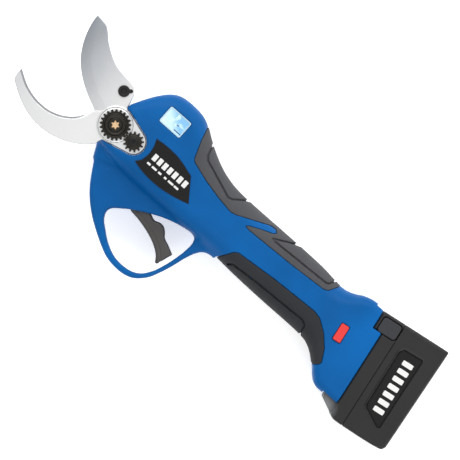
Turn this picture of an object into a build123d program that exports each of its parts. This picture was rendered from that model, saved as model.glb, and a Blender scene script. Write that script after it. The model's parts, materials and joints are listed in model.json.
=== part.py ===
from build123d import *
import math
import os

# Battery electric pruner, millimetres. Modelled with the blade pivot at X = Y = 0 and the
# housing's parting plane at Z = 0: +X runs along the handle to the battery, +Y to the back
# of the hand, +Z to the side with the adjusting nut. export() moves every piece so that
# the origin is at the middle of the bounding box's underside.

# --- Driving dimensions -------------------------------------------------------------------
head_half = 24.0            # half thickness of the head, the foot and the battery
grip_half = 20.0            # half thickness of the handle
head_top = 47.5             # highest point of the head above the pivot
head_under = -22.0          # underside of the head's thick part
grip_top = 22.7
grip_under = -24.0
foot_top = 29.0
foot_under = -45.0
grip_start = 120.0          # X where the slim handle begins and ends
grip_end = 194.0
foot_peak = 222.0           # X of the foot's full section
wall = 2.5                  # moulded wall of the housing
web_half = 8.0              # half thickness of the nose and the hand guard
grip_skin = 1.6             # thickness of the rubber grips
seat_gap = 0.3              # clearance round parts that move in the housing
run_gap = 0.04              # radial clearance of running fits
face_gap = 0.1              # clearance between sliding faces

drive_z = -3.0              # height of the motor, gearbox and pinion axis
blade_thick = 4.0
moving_z = 8.0              # underside of the moving blade
fixed_z = moving_z + blade_thick + face_gap
plate_z = fixed_z + blade_thick
cover_thick = 2.0
gear_z = plate_z + cover_thick

bolt_r = 5.0
bush_r = 7.5
eye_r = 14.5                # round end of the fixed blade and its cover plate
nut_teeth = 21
lock_teeth = 13
gear_spacing = 17.8         # distance between the nut's and the lock gear's centres
lock_angle = -1.6           # direction of the lock gear from the pivot
nut_thick = 5.0
lock_thick = 4.0

frame_boss_r = 12.5
frame_floor = -17.5
frame_front = 24.0          # X span of the frame's bearing block
frame_back = 36.0
frame_wide = 14.0           # half width of the bearing block
frame_rib = 10.0            # half width of the floor in front of it
hub_r = 11.0                # hub of the bevel sector
hub_z = -3.4                # its underside
drive_screw_x, drive_screw_y = -11.8, 22.3
drive_screw_r = 2.5
blade_screw_x, blade_screw_y = 30.0, 10.5
blade_screw_r = 2.0

sector_teeth = 36           # in a full circle
pinion_teeth = 12
bevel_module = 1.2
bevel_face = 6.0            # length of the bevel teeth
shaft_r = 4.0
bearing_r = 8.0
bearing_wide = 5.0

gearbox_x = 37.0
gearbox_r = 16.5
gearbox_long = 25.0
planet_module = 0.55
sun_teeth = 12
planet_teeth = 18
ring_teeth = sun_teeth + 2 * planet_teeth
planet_wide = 6.0
planet_pin_r = 1.5
motor_r = 16.0
motor_long = 40.0
motor_wall = 1.4
motor_shaft_r = 1.5

trigger_x, trigger_y = 44.0, -30.0
trigger_half = 5.0
trigger_pin_r = 1.5

screw_r = 1.5
screw_head_r = 2.8
screw_head = 2.4
boss_r = 3.6

battery_tilt = 9.0          # the battery's axis, turned from the handle's
battery_x, battery_y = 246.9, -14.2
battery_long = 48.5         # length behind the foot, at the dorsal corner
battery_heel = battery_long - 1.1   # and at the ventral corner
battery_top = 44.0          # across the tilted axis
battery_under = -41.5
neck_long = 11.0            # stretch of the battery inside the foot
neck_half = 20.4
collar_end = 12.0           # seam between the pack's collar and its case
battery_wall = 1.8
cell_r = 9.0
cell_long = 65.0
cell_cap = 1.2              # height of the positive cap
cell_pitch = 18.1
cell_v = -36.4              # ventral end of the cells
cell_play = 1.0             # space between the last cells and the end wall
contact_pitch = 10.0
contact_reach = 15.0        # half width of the terminal block
latch_s, latch_v = 3.2, 35.4
latch_wide, latch_high = 14.6, 11.4
latch_floor = 15.0          # height of the floor under the latch's spring
latch_inner = 18.6          # underside and top of the button
latch_outer = head_half - 0.4
rocker_s, rocker_v = -24.6, 14.0
rocker_wide, rocker_high = 6.4, 13.6
rocker_tilt = 6.0
rocker_pin_r = 0.8
rocker_pin_z = head_half - 1.4

display_x, display_y = 31.0, 30.0
display_wide, display_high = 19.8, 14.4
label_thick = 0.5

board_x = 122.0             # motor controller
board_long = 58.0
board_half = 12.0
board_z = -9.0
board_thick = 1.6
connector_x = board_x + 5.0


# --- Small helpers ------------------------------------------------------------------------
BASE = (Align.CENTER, Align.CENTER, Align.MIN)


def rod_z(x, y, z_low, z_high, radius):
    return Pos(x, y, z_low) * Cylinder(radius, z_high - z_low, align=BASE)


def rod_x(x_low, x_high, radius, y=0.0, z=drive_z):
    return Pos(x_low, y, z) * Rot(0, 90, 0) * Cylinder(radius, x_high - x_low, align=BASE)


def tube_x(x_low, x_high, outer, inner):
    return rod_x(x_low, x_high, outer) - rod_x(x_low, x_high, inner)


def block(x_low, x_high, y_low, y_high, z_low, z_high):
    centre = Pos((x_low + x_high) / 2, (y_low + y_high) / 2, (z_low + z_high) / 2)
    return centre * Box(x_high - x_low, y_high - y_low, z_high - z_low)


def slab(outline, z_low, z_high):
    return extrude(Pos(0, 0, z_low) * outline, z_high - z_low)


def polygon(*points):
    return make_face(Polyline(*points, close=True))


def polar(radius, degrees):
    return (radius * math.cos(math.radians(degrees)), radius * math.sin(math.radians(degrees)))


def battery_place(shape):
    return Pos(battery_x, battery_y, 0) * Rot(0, 0, battery_tilt) * shape


def toothed(teeth, pitch_r, addendum, dedendum, fill, phase=0.0):
    """Outline of a spur gear: straight flanks, each tooth filling its share of the pitch."""
    step = 360.0 / teeth
    points = []
    for i in range(teeth):
        middle = phase + i * step
        points.append(polar(pitch_r - dedendum, middle - fill * step * 0.72))
        points.append(polar(pitch_r + addendum, middle - fill * step * 0.28))
        points.append(polar(pitch_r + addendum, middle + fill * step * 0.28))
        points.append(polar(pitch_r - dedendum, middle + fill * step * 0.72))
    return polygon(*points)


# --- Outer form of the housing ------------------------------------------------------------
def body_stations():
    """X, underside, top, half thickness and corner radius of each cross-section."""
    return (
        (-2.4, -16.0, 17.4, 20.5, 6.0),
        (5.0, -18.0, 29.6, 21.5, 9.0),
        (14.0, -20.0, 40.8, 22.8, 12.0),
        (26.0, head_under, head_top, head_half, 14.0),
        (42.0, head_under, head_top - 0.3, head_half, 14.0),
        (60.0, head_under, 37.8, head_half, 14.0),
        (78.0, head_under, 27.8, head_half, 14.0),
        (98.0, head_under, grip_top + 0.5, head_half - 1.0, 14.0),
        (grip_start, grip_under + 1.2, grip_top, grip_half, 14.0),
        ((grip_start + grip_end) / 2, grip_under, grip_top, grip_half, 14.0),
        (grip_end, grip_under - 0.2, grip_top - 1.2, grip_half + 0.2, 13.5),
        (foot_peak - 13.0, grip_under - 4.0, foot_top - 5.6, head_half - 2.4, 12.0),
        (foot_peak, foot_under + 8.0, foot_top - 0.2, head_half - 0.2, 9.0),
        (foot_peak + 9.0, foot_under + 0.2, foot_top, head_half, 7.0),
        (foot_peak + 34.0, foot_under, foot_top, head_half, 6.0),
    )


def body_form(inset, first=0):
    """The thick part of the housing, each surface moved in by inset."""
    stations = body_stations()
    sections = []
    last = len(stations) - 1
    for i in range(first, len(stations)):
        x, low, high, half, corner = stations[i]
        before = stations[max(i - 1, 0)]
        after = stations[min(i + 1, last)]
        run = after[0] - before[0]
        inset_high = inset * math.hypot(1.0, (after[2] - before[2]) / run)
        inset_low = inset * math.hypot(1.0, (after[1] - before[1]) / run)
        height = high - low - inset_high - inset_low
        middle = (high - inset_high + low + inset_low) / 2
        section = RectangleRounded(height, 2 * (half - inset), max(corner - inset, 2.0))
        sections.append(Plane((x, middle, 0), x_dir=(0, 1, 0), z_dir=(1, 0, 0)) * section)
    return loft(sections, ruled=True)


def guard_outline():
    """Nose and hand guard, outer edge."""
    nose = Polyline((30.0, -14.0), (-1.2, -14.0), (-1.2, -15.5), (8.5, -32.6), (17.0, -46.6))
    bow = Spline((17.0, -46.6), (33.6, -62.4), (50.0, -72.2), (66.0, -77.0), (80.0, -75.4),
                 (90.1, -66.5), (97.0, -51.0), (101.5, -37.5), (107.8, -25.9), (116.0, -22.6))
    back = Polyline((116.0, -22.6), (116.0, -14.0), (30.0, -14.0))
    return make_face(nose + bow + back)


def guard_opening():
    """The finger opening in the hand guard."""
    edge = Spline((36.6, -51.0), (38.6, -55.8), (50.5, -65.6), (62.0, -71.0), (74.0, -71.6),
                  (83.0, -68.0), (90.0, -58.6), (95.2, -43.0), (97.2, -29.0), (94.6, -22.8),
                  (86.0, -23.2), (68.0, -28.9), (48.9, -39.2), (38.6, -46.2), periodic=True)
    return make_face(edge)


def guard_form():
    web = slab(guard_outline(), -web_half, web_half)
    return web - slab(guard_opening(), -web_half, web_half)


def nose_cavity():
    """Room inside the nose for the trigger's root and its board."""
    outline = polygon((10.0, -17.0), (10.0, -25.0), (21.0, -45.0), (30.0, -52.0), (34.0, -51.0),
                      (36.0, -44.0), (47.0, -36.0), (60.0, -29.5), (76.0, -24.8), (76.0, -17.0))
    return slab(outline, -trigger_half - 0.6, trigger_half + 0.6)


def trigger_slot():
    """Opening in the head's underside that the trigger swings through."""
    outline = polygon((45.0, -33.0), (45.0, -43.5), (52.0, -41.0), (83.0, -26.0),
                      (83.0, head_under + 1.6), (50.0, head_under + 1.6))
    return slab(outline, -trigger_half - 0.6, trigger_half + 0.6)


def sector_room():
    """Swept room of the bevel sector, with the mouth that the blades swing in."""
    sweep = slab(Circle(24.0), hub_z - 1.0, fixed_z - face_gap)
    sweep = sweep & block(6.0, 30.0, -30.0, 30.0, -10.0, head_half)
    mouth = slab(Circle(17.6), hub_z - 1.0, plate_z + face_gap)
    return sweep + mouth


def teardrop(grow):
    """Outline of the cover plate, grown all round."""
    nose = eye_r - 0.9 + grow
    tail = 9.2 + grow
    centre = polar(gear_spacing, lock_angle)
    lean = math.degrees(math.acos((nose - tail) / gear_spacing))
    a1 = polar(nose, lock_angle + lean)
    a2 = polar(nose, lock_angle - lean)
    b1 = polar(tail, lock_angle + lean)
    b2 = polar(tail, lock_angle - lean)
    web = polygon(a1, (centre[0] + b1[0], centre[1] + b1[1]),
                  (centre[0] + b2[0], centre[1] + b2[1]), a2)
    return Circle(nose) + web + Pos(*centre) * Circle(tail)


SCREW_PLACES = ((9.5, 30.0), (52.0, 36.0), (112.0, 15.0), (188.0, 14.0), (112.0, -15.5),
                (188.0, -16.5), (228.0, 22.5), (230.5, -38.0), (17.0, -39.0))


def screw_is_short(place):
    """The nose and guard are thinner than the body."""
    return place[1] < head_under and place[0] < grip_start


def screw_seat(place):
    return -web_half + 4.4 if screw_is_short(place) else -10.0


def screw_tip(place):
    return web_half - 2.0 if screw_is_short(place) else 10.0


def back_grip_region():
    """Side outline of the back grip: one long pad with a tongue of housing let into it."""
    edge = Polyline((49.5, 60.0), (50.5, 44.0), (54.0, 33.0), (58.5, 19.2), (75.0, 13.4),
                    (96.0, 9.0), (105.0, 8.4), (112.0, 11.0), (131.0, 20.0), (136.5, 20.6),
                    (138.2, 18.4), (128.0, 13.8), (118.0, 8.6), (124.0, 7.6), (192.5, 11.4),
                    (198.0, 20.4), (198.0, 60.0), (49.5, 60.0))
    return slab(make_face(edge), -head_half - 2, head_half + 2)


def front_grip_region():
    """Side outline of the front grip, which runs from the guard into the foot."""
    edge = Polyline((118.0, -60.0), (118.0, -23.0), (125.0, -11.0), (160.0, -7.0), (200.0, -5.4),
                    (212.0, -13.0), (220.5, -22.0), (224.6, -30.0), (219.4, -36.0),
                    (219.4, -60.0), (118.0, -60.0))
    return slab(make_face(edge), -head_half - 2, head_half + 2)


def foot_keep():
    """All that lies in front of the battery's mating face, less the notch for the latch."""
    front = battery_place(block(-400, 0, -200, 200, -60, 60))
    notch = battery_place(block(-7.4, 1, 29.4, 80, -60, 60))
    return front - notch


def foot_mouth():
    """Opening in the foot that the battery's neck slides into."""
    gap = seat_gap
    return battery_place(block(-neck_long - 2, 1, -60, 60, -neck_half - gap, neck_half + gap))


OUTER = body_form(0.0)
INNER = body_form(wall, 1)
SKIN = body_form(grip_skin)
REGION_BACK = back_grip_region() - SKIN
REGION_FRONT = front_grip_region() - SKIN


def housing_shell():
    """Both halves in one, before they are parted."""
    shell = OUTER + guard_form()
    shell = shell - INNER - nose_cavity() - trigger_slot() - sector_room()
    shell = shell - REGION_BACK - REGION_FRONT
    bosses = None
    for x, y in SCREW_PLACES:
        boss = rod_z(x, y, -head_half, head_half, boss_r)
        bosses = boss if bosses is None else bosses + boss
    shell = shell + (bosses & INNER)
    for place in SCREW_PLACES:
        x, y = place
        shell = shell - rod_z(x, y, -head_half - 2, screw_seat(place), screw_head_r + 0.2)
        shell = shell - rod_z(x, y, screw_seat(place), screw_tip(place), screw_r)
    shell = shell - rod_z(trigger_x, trigger_y, -web_half + 1.5, web_half - 1.5, trigger_pin_r)
    return (shell & foot_keep()) - foot_mouth()


def display_window(grow, z_low, z_high):
    frame = RectangleRounded(display_wide + 2 * grow, display_high + 2 * grow, 1.4 + grow)
    return slab(Pos(display_x, display_y) * frame, z_low, z_high)


def label_outline(grow=0.0):
    top = ThreePointArc((28.8 - grow, 12.4 + grow), (47.0, 13.0 + grow), (65.0, 8.8 + grow))
    tip = Line((65.0, 8.8 + grow), (77.0 + grow, -7.8))
    under = ThreePointArc((77.0 + grow, -7.8), (52.0, -13.0 - grow), (27.8 - grow, -10.2 - grow))
    hollow = ThreePointArc((27.8 - grow, -10.2 - grow), (31.9 - grow, 0.8), (28.8 - grow, 12.4 + grow))
    return make_face(top + tip + under + hollow)


def rocker_window(grow, z_low, z_high):
    frame = RectangleRounded(rocker_wide + 2 * grow, rocker_high + 2 * grow, 1.0)
    return battery_place(slab(Pos(rocker_s, rocker_v) * frame, z_low, z_high))


def rocker_pins(radius, reach):
    """Round bar along the rocker's axis, reaching past its window on both sides."""
    half = rocker_wide / 2 + seat_gap + reach
    bar = Cylinder(radius, 2 * half)
    return battery_place(Pos(rocker_s, rocker_v, rocker_pin_z) * Rot(0, 90, 0) * bar)


def frame_bores():
    """The right half is open round the head frame's pivot boss."""
    return slab(Circle(frame_boss_r + seat_gap), -head_half - 2, 0)


def housing_left(shell):
    half = split(shell, bisect_by=Plane.XY, keep=Keep.TOP)
    half = half - slab(teardrop(0.5), 0, head_half + 2)
    half = half - slab(block_sketch(-20, 0, -eye_r, eye_r), plate_z, head_half + 2)
    half = half - display_window(0.0, 0, head_half + 2)
    half = half - rocker_window(seat_gap, 0, head_half + 2)
    half = half - slab(label_outline(0.15), head_half - label_thick, head_half + 2)
    return half - rocker_pins(rocker_pin_r + run_gap, 1.2)


def housing_right(shell):
    half = split(shell, bisect_by=Plane.XY, keep=Keep.BOTTOM)
    half = half - frame_bores()
    return half - slab(block_sketch(-20, 0, -frame_boss_r, frame_boss_r), -head_half - 2, 0)


def block_sketch(x_low, x_high, y_low, y_high):
    return Pos((x_low + x_high) / 2, (y_low + y_high) / 2) * Rectangle(x_high - x_low, y_high - y_low)


def grip_pad(region, keep):
    """One half of a rubber grip, open over the heads of the screws under it."""
    pad = split((OUTER & region) & foot_keep(), bisect_by=Plane.XY, keep=keep)
    for x, y in SCREW_PLACES:
        pad = pad - rod_z(x, y, -head_half - 2, -1.0, screw_head_r + 0.2)
    return pad


def side_label():
    return slab(label_outline(), head_half - label_thick, head_half)


def housing_screws():
    screws = []
    for place in SCREW_PLACES:
        x, y = place
        seat = screw_seat(place)
        head = rod_z(x, y, seat - screw_head, seat, screw_head_r)
        head = head - slab(Pos(x, y) * RegularPolygon(1.25, 6), seat - screw_head, seat - 0.9)
        screws.append(head + rod_z(x, y, seat, screw_tip(place) - 0.5, screw_r))
    return Compound(children=screws)


# --- Cutting head -------------------------------------------------------------------------
def moving_blade():
    """Crescent cutting blade with a long bevel ground along its edge."""
    edge = Spline((-62.4, 50.6), (-60.7, 38.3), (-57.0, 28.5), (-50.8, 18.9), (-41.4, 10.2),
                  (-32.1, 4.3), (-19.6, -1.6))
    spine = Spline((-13.3, 30.2), (-25.2, 32.0), (-37.5, 37.7), (-46.0, 43.2), (-52.0, 48.4))
    heel = Polyline((-19.6, -1.6), (-12.0, -8.0), (2.0, 0.0), (-3.4, 21.4), (-7.4, 29.4), (-13.3, 30.2))
    tip = Line((-52.0, 48.4), (-62.4, 50.6))
    top = moving_z + blade_thick
    blade = slab(make_face(edge + heel + spine + tip), moving_z, top)
    blade = blade + rod_z(0, 0, moving_z, top, eye_r)
    blade = blade - rod_z(0, 0, moving_z - 1, top + 1, bush_r + run_gap)
    blade = blade - rod_z(drive_screw_x, drive_screw_y, moving_z - 1, top + 1, drive_screw_r)
    return blade - edge_bevel(edge, moving_z, 7.0, 3.4)


def edge_bevel(edge, z_face, run, depth):
    """Wedge that follows a blade's cutting edge, deepest at the edge itself."""
    start = edge @ 0
    along = edge % 0
    profile = Plane(origin=(start.X, start.Y, z_face), x_dir=(-along.Y, along.X, 0), z_dir=along)
    wedge = profile * polygon((run, -0.01), (-4.0, -0.01), (-4.0, depth), (0.0, depth))
    return sweep(wedge, path=edge)


def fixed_blade():
    """Hook blade with its eye and the tail that bolts to the head frame."""
    inner = Spline((-77.6, -14.4), (-66.0, -21.0), (-54.6, -23.9), (-43.4, -23.7), (-33.9, -20.5),
                   (-26.0, -14.8), (-20.0, -6.4))
    outer = Spline((-2.4, -19.8), (-9.0, -26.6), (-20.0, -33.2), (-33.0, -36.4), (-46.0, -36.6),
                   (-60.0, -33.0), (-72.1, -26.8), (-77.4, -21.9))
    root = Polyline((-20.0, -6.4), (-14.0, 3.0), (0.0, 0.0), (-2.4, -19.8))
    tip = Line((-77.4, -21.9), (-77.6, -14.4))
    blade = slab(make_face(inner + root + outer + tip), fixed_z, plate_z)
    blade = blade + rod_z(0, 0, fixed_z, plate_z, eye_r)
    blade = blade + block(0, frame_back, -frame_wide, frame_wide, fixed_z, plate_z)
    blade = blade - rod_z(0, 0, fixed_z - 1, plate_z + 1, bolt_r)
    lock_x, lock_y = polar(gear_spacing, lock_angle)
    blade = blade - rod_z(lock_x, lock_y, fixed_z - 1, plate_z + 1, screw_r)
    for side in (-1, 1):
        place = (blade_screw_x, side * blade_screw_y)
        blade = blade - rod_z(*place, fixed_z - 1, plate_z + 1, blade_screw_r)
    return blade


def head_frame():
    """Cast frame: pivot boss, floor and the block that carries the output bearings."""
    boss_top = hub_z - 1.0
    frame = rod_z(0, 0, frame_floor, boss_top, frame_boss_r)
    frame = frame + block(0, frame_front, -frame_rib, frame_rib, frame_floor, drive_z - 9.4)
    frame = frame + block(frame_front, frame_back, -frame_wide, frame_wide, frame_floor, moving_z + blade_thick)
    frame = frame + block(frame_front, frame_back, -frame_wide, frame_wide, moving_z, fixed_z)
    frame = frame - rod_z(0, 0, frame_floor - 1, boss_top + 1, bolt_r)
    frame = frame - rod_x(frame_front - 1, frame_back + 1, bearing_r)
    frame = frame - rod_x(frame_boss_r, frame_front, bearing_r + 1.0)
    for side in (-1, 1):
        place = (blade_screw_x, side * blade_screw_y)
        frame = frame - rod_z(*place, moving_z - 4, fixed_z + 1, blade_screw_r)
    return frame


def blade_mount_screws():
    """Two countersunk screws through the fixed blade's tail."""
    screws = []
    for side in (-1, 1):
        place = (blade_screw_x, side * blade_screw_y)
        shank = rod_z(*place, moving_z - 3.5, plate_z, blade_screw_r)
        head = rod_z(*place, plate_z, plate_z + 2.0, 3.6)
        socket = slab(Pos(*place) * RegularPolygon(1.6, 6), plate_z + 0.6, plate_z + 2.1)
        screws.append(head + shank - socket)
    return Compound(children=screws)


def pivot_bolt():
    """Hexagon head under the frame, star recess in the threaded end."""
    end = gear_z + nut_thick + 0.6
    head = slab(RegularPolygon(8.0, 6), frame_floor - 4.6, frame_floor)
    shank = rod_z(0, 0, frame_floor, end, bolt_r)
    star = Circle(1.9)
    for i in range(6):
        star = star + Pos(*polar(1.9, 60 * i)) * Circle(0.85)
    return head + shank - slab(star, end - 3.0, end + 1)


def pivot_bush():
    return rod_z(0, 0, hub_z, fixed_z, bush_r) - rod_z(0, 0, hub_z - 1, fixed_z + 1, bolt_r)


def thrust_washer():
    ring = rod_z(0, 0, hub_z - 1.0, hub_z - face_gap, hub_r - 1)
    return ring - rod_z(0, 0, hub_z - 2, hub_z + 1, bolt_r)


def cone_slant():
    return bevel_module * math.hypot(sector_teeth, pinion_teeth) / 2


def cone_half():
    """Half angle of the sector's pitch cone, from its axis."""
    return math.degrees(math.atan2(sector_teeth, pinion_teeth))


def bevel_tooth(side):
    """Tooth along the line where the two pitch cones meet; side +1 for the pinion, -1 for
    the sector. The apex is at the origin and the pinion's axis is +X."""
    slant = cone_slant()
    run, rise = polar(1.0, 90.0 - cone_half())
    ends = []
    for reach in (slant - bevel_face, slant):
        scale = reach / slant
        pitch = math.pi * bevel_module * scale
        tip = side * 0.8 * bevel_module * scale
        root = -side * 1.5 * bevel_module * scale
        profile = polygon((-0.30 * pitch, root), (0.30 * pitch, root), (0.11 * pitch, tip), (-0.11 * pitch, tip))
        place = Plane(origin=(reach * run, 0, reach * rise), x_dir=(0, 1, 0), z_dir=(run, 0, rise))
        ends.append(place * profile)
    return loft(ends, ruled=True)


def bevel_sector():
    """Hub, toothed segment and the arm that drives the moving blade."""
    slant = cone_slant()
    rim = slant * math.sin(math.radians(cone_half())) + 0.6
    floor = drive_z + slant * math.cos(math.radians(cone_half())) + 1.1 * bevel_module
    part = rod_z(0, 0, hub_z, moving_z, hub_r)
    wedge = polygon((0, 0), polar(40, -69), polar(40, -30), polar(40, 9))
    part = part + (rod_z(0, 0, floor, moving_z, rim) & slab(wedge, floor, moving_z))
    arm = polygon((-9.0, 4.0), (drive_screw_x - 4.6, drive_screw_y), (drive_screw_x + 4.6, drive_screw_y),
                  (2.0, 9.0))
    part = part + slab(arm, moving_z - 3.6, moving_z)
    part = part + rod_z(drive_screw_x, drive_screw_y, moving_z - 3.6, moving_z, 4.8)
    pitch = 360.0 / sector_teeth
    for i in range(8):
        part = part + Pos(0, 0, drive_z) * Rot(0, 0, pitch * (0.5 - i)) * bevel_tooth(-1)
    part = part - rod_z(0, 0, hub_z - 1, moving_z + 1, bush_r + run_gap)
    return part - rod_z(drive_screw_x, drive_screw_y, 0, moving_z + 1, drive_screw_r)


def blade_drive_screw():
    """Cap screw that fastens the moving blade to the sector's arm."""
    top = moving_z + blade_thick
    shank = rod_z(drive_screw_x, drive_screw_y, moving_z - 3.6, top, drive_screw_r)
    head = rod_z(drive_screw_x, drive_screw_y, top, top + 2.6, 4.0)
    socket = Pos(drive_screw_x, drive_screw_y) * RegularPolygon(2.3, 6)
    return shank + head - slab(socket, top + 0.8, top + 3)


def gear_cover_plate():
    """Bright plate between the fixed blade and the two gears."""
    plate = slab(teardrop(0.0), plate_z, gear_z)
    lock_x, lock_y = polar(gear_spacing, lock_angle)
    return plate - rod_z(0, 0, plate_z - 1, gear_z + 1, bolt_r) - rod_z(lock_x, lock_y, plate_z - 1, gear_z + 1, screw_r)


def gear_module():
    return 2 * gear_spacing / (nut_teeth + lock_teeth)


def pivot_gear_nut():
    """Adjusting nut: a toothed rim with a raised round boss."""
    pitch_r = gear_module() * nut_teeth / 2
    low = gear_z + face_gap
    phase = lock_angle + 180.0 / nut_teeth
    gear = slab(toothed(nut_teeth, pitch_r, 0.5, 1.3, 0.40, phase), low, gear_z + nut_thick - 1.2)
    boss = slab(Circle(7.8), low, gear_z + nut_thick)
    return gear + boss - rod_z(0, 0, gear_z, gear_z + nut_thick + 1, bolt_r + run_gap)


def lock_gear():
    """Small gear that keys the nut's setting."""
    pitch_r = gear_module() * lock_teeth / 2
    low = gear_z + face_gap
    centre = Pos(*polar(gear_spacing, lock_angle))
    gear = slab(centre * toothed(lock_teeth, pitch_r, 0.8, 1.0, 0.40, lock_angle + 180.0), low,
                gear_z + lock_thick - 0.8)
    hub = slab(centre * Circle(4.6), low, gear_z + lock_thick - 0.4)
    lock_x, lock_y = polar(gear_spacing, lock_angle)
    return gear + hub - rod_z(lock_x, lock_y, gear_z, gear_z + lock_thick, screw_r + run_gap)


def lock_gear_screw():
    lock_x, lock_y = polar(gear_spacing, lock_angle)
    top = gear_z + lock_thick - 0.4 + face_gap
    shank = rod_z(lock_x, lock_y, fixed_z + 0.4, top, screw_r)
    head = rod_z(lock_x, lock_y, top, top + 1.6, 3.0)
    return shank + head - slab(Pos(lock_x, lock_y) * RegularPolygon(1.4, 6), top + 0.4, top + 2)


# --- Drive train --------------------------------------------------------------------------
carrier_thick = 4.0
planet_gap = 0.5
orbit_r = planet_module * (sun_teeth + planet_teeth) / 2
output_carrier_x = gearbox_x + 1.0
output_planet_x = output_carrier_x + carrier_thick + planet_gap
input_carrier_x = output_planet_x + planet_wide + planet_gap
input_planet_x = input_carrier_x + carrier_thick - 1.0 + planet_gap
front_plate_x = gearbox_x + gearbox_long
plate_thick = 3.0
can_x = front_plate_x + plate_thick
can_end = can_x + motor_long
rotor_r = 8.6
lead_r = 1.1
lead_z = drive_z + 9.5


def gear_x(outline, x_low, length):
    """Stand an outline drawn in XY up so that its axis is the drive axis; X becomes Y."""
    place = Plane(origin=(x_low, 0, drive_z), x_dir=(0, 1, 0), z_dir=(1, 0, 0))
    return extrude(place * outline, length)


def on_orbit(i):
    return polar(orbit_r, 120.0 * i)


def bevel_pinion():
    """Pinion and its shaft in one."""
    slant = cone_slant()
    half = math.radians(90.0 - cone_half())
    small = slant - bevel_face
    root = 1.15 * bevel_module
    x_small = small * math.cos(half)
    x_large = slant * math.cos(half)
    r_small = small * math.sin(half) - root * small / slant
    r_large = slant * math.sin(half) - root
    cone = Pos(x_small, 0, drive_z) * Rot(0, 90, 0) * Cone(r_small, r_large, x_large - x_small, align=BASE)
    part = cone + rod_x(x_large, x_large + 1.2, r_large) + rod_x(x_large, output_carrier_x + carrier_thick, shaft_r)
    for i in range(pinion_teeth):
        tooth = Rot(360.0 / pinion_teeth * i, 0, 0) * bevel_tooth(1)
        part = part + Pos(0, 0, drive_z) * tooth
    return part


def output_bearings():
    """Two ball bearings side by side in the frame's block, shown as closed rings."""
    gap = (frame_back - frame_front - 2 * bearing_wide) / 3
    rings = []
    for i in range(2):
        x = frame_front + gap + i * (bearing_wide + gap)
        ring = tube_x(x, x + bearing_wide, bearing_r, shaft_r + run_gap)
        for face in (x - 0.1, x + bearing_wide - 0.5):
            ring = ring - tube_x(face, face + 0.6, bearing_r - 1.4, shaft_r + 1.4)
        rings.append(ring)
    return Compound(children=rings)


def carrier_pins(x_low, x_high):
    pins = None
    for i in range(3):
        y, z = on_orbit(i)
        pin = rod_x(x_low, x_high, planet_pin_r, y, drive_z + z)
        pins = pin if pins is None else pins + pin
    return pins


def output_carrier():
    plate = tube_x(output_carrier_x, output_carrier_x + carrier_thick, orbit_r + 2.9, shaft_r)
    return plate + carrier_pins(output_carrier_x, output_planet_x + planet_wide)


def input_carrier():
    """First stage carrier with the second stage's sun on it."""
    plate = rod_x(input_carrier_x, input_carrier_x + carrier_thick - 1.0, orbit_r + 2.9)
    sun = gear_x(sun_outline(), output_planet_x, input_carrier_x - output_planet_x)
    return plate + sun + carrier_pins(input_carrier_x, input_planet_x + planet_wide)


def sun_outline():
    return toothed(sun_teeth, planet_module * sun_teeth / 2, 0.8 * planet_module, planet_module, 0.36)


def planet_gear(stage_x, i):
    """Planet i, with a gap facing the sun and another facing the ring."""
    y, z = on_orbit(i)
    phase = 120.0 * i + 180.0 / planet_teeth
    pitch_r = planet_module * planet_teeth / 2
    outline = Pos(y, z) * toothed(planet_teeth, pitch_r, 0.8 * planet_module, planet_module, 0.36, phase)
    bore = rod_x(stage_x - 1, stage_x + planet_wide + 1, planet_pin_r + run_gap, y, drive_z + z)
    return gear_x(outline, stage_x, planet_wide) - bore


def ring_gear():
    """Fixed internal gear shared by both stages."""
    pitch_r = planet_module * ring_teeth / 2
    bore = toothed(ring_teeth, pitch_r, planet_module, 0.8 * planet_module, 0.64, 180.0 / ring_teeth)
    body = rod_x(gearbox_x, front_plate_x, gearbox_r)
    ring = body - gear_x(bore, output_planet_x - 1, front_plate_x - output_planet_x + 2)
    return ring - rod_x(gearbox_x - 1, output_planet_x, pitch_r + 0.4)


def sun_gear():
    gear = gear_x(sun_outline(), input_planet_x, planet_wide + 1.0)
    return gear - rod_x(input_planet_x - 1, input_planet_x + planet_wide + 2, motor_shaft_r)


def motor_front_plate():
    plate = tube_x(front_plate_x, can_x, gearbox_r, 5.0)
    for i in range(4):
        y, z = polar(12.5, 45 + 90 * i)
        plate = plate - rod_x(front_plate_x - 1, front_plate_x + 1.4, 1.6, y, drive_z + z)
    return plate


def motor_can():
    can = rod_x(can_x, can_end, motor_r) - rod_x(can_x - 1, can_end - motor_wall, motor_r - motor_wall)
    can = can - rod_x(can_end - motor_wall - 1, can_end + 1, 5.0)
    for i in range(6):
        y, z = polar(10.5, 60 * i)
        can = can - rod_x(can_end - motor_wall - 1, can_end + 1, 2.2, y, drive_z + z)
    return can


def motor_stator():
    """Laminated ring with nine wound teeth."""
    outline = Circle(motor_r - motor_wall) - Circle(rotor_r + 0.5)
    for i in range(9):
        y, z = polar(11.2, 20 + 40 * i)
        outline = outline - Pos(y, z) * Circle(1.7)
    return gear_x(outline, can_x + 5, motor_long - 12)


def motor_rotor():
    outline = Circle(rotor_r) - Circle(motor_shaft_r)
    return gear_x(outline, can_x + 6, motor_long - 14)


def motor_shaft():
    return rod_x(input_planet_x + 0.5, can_end - 0.2, motor_shaft_r)


def motor_bearings():
    front = tube_x(front_plate_x, can_x, 5.0, motor_shaft_r + run_gap)
    back = tube_x(can_end - 3.5, can_end, 5.0, motor_shaft_r + run_gap)
    return Compound(children=[front, back])


def motor_leads():
    """Three phase leads from the motor's back to the control board."""
    leads = []
    for i in range(3):
        y = 5.0 * (i - 1)
        path = FilletPolyline((can_end, y, lead_z), (can_end + 6, y, lead_z),
                              (board_x - 1, y, board_z + 4.0), (connector_x, y, board_z + 4.0), radius=4.0)
        leads.append(sweep(Plane(origin=path @ 0, z_dir=path % 0) * Circle(lead_r), path=path))
    return Compound(children=leads)


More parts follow.
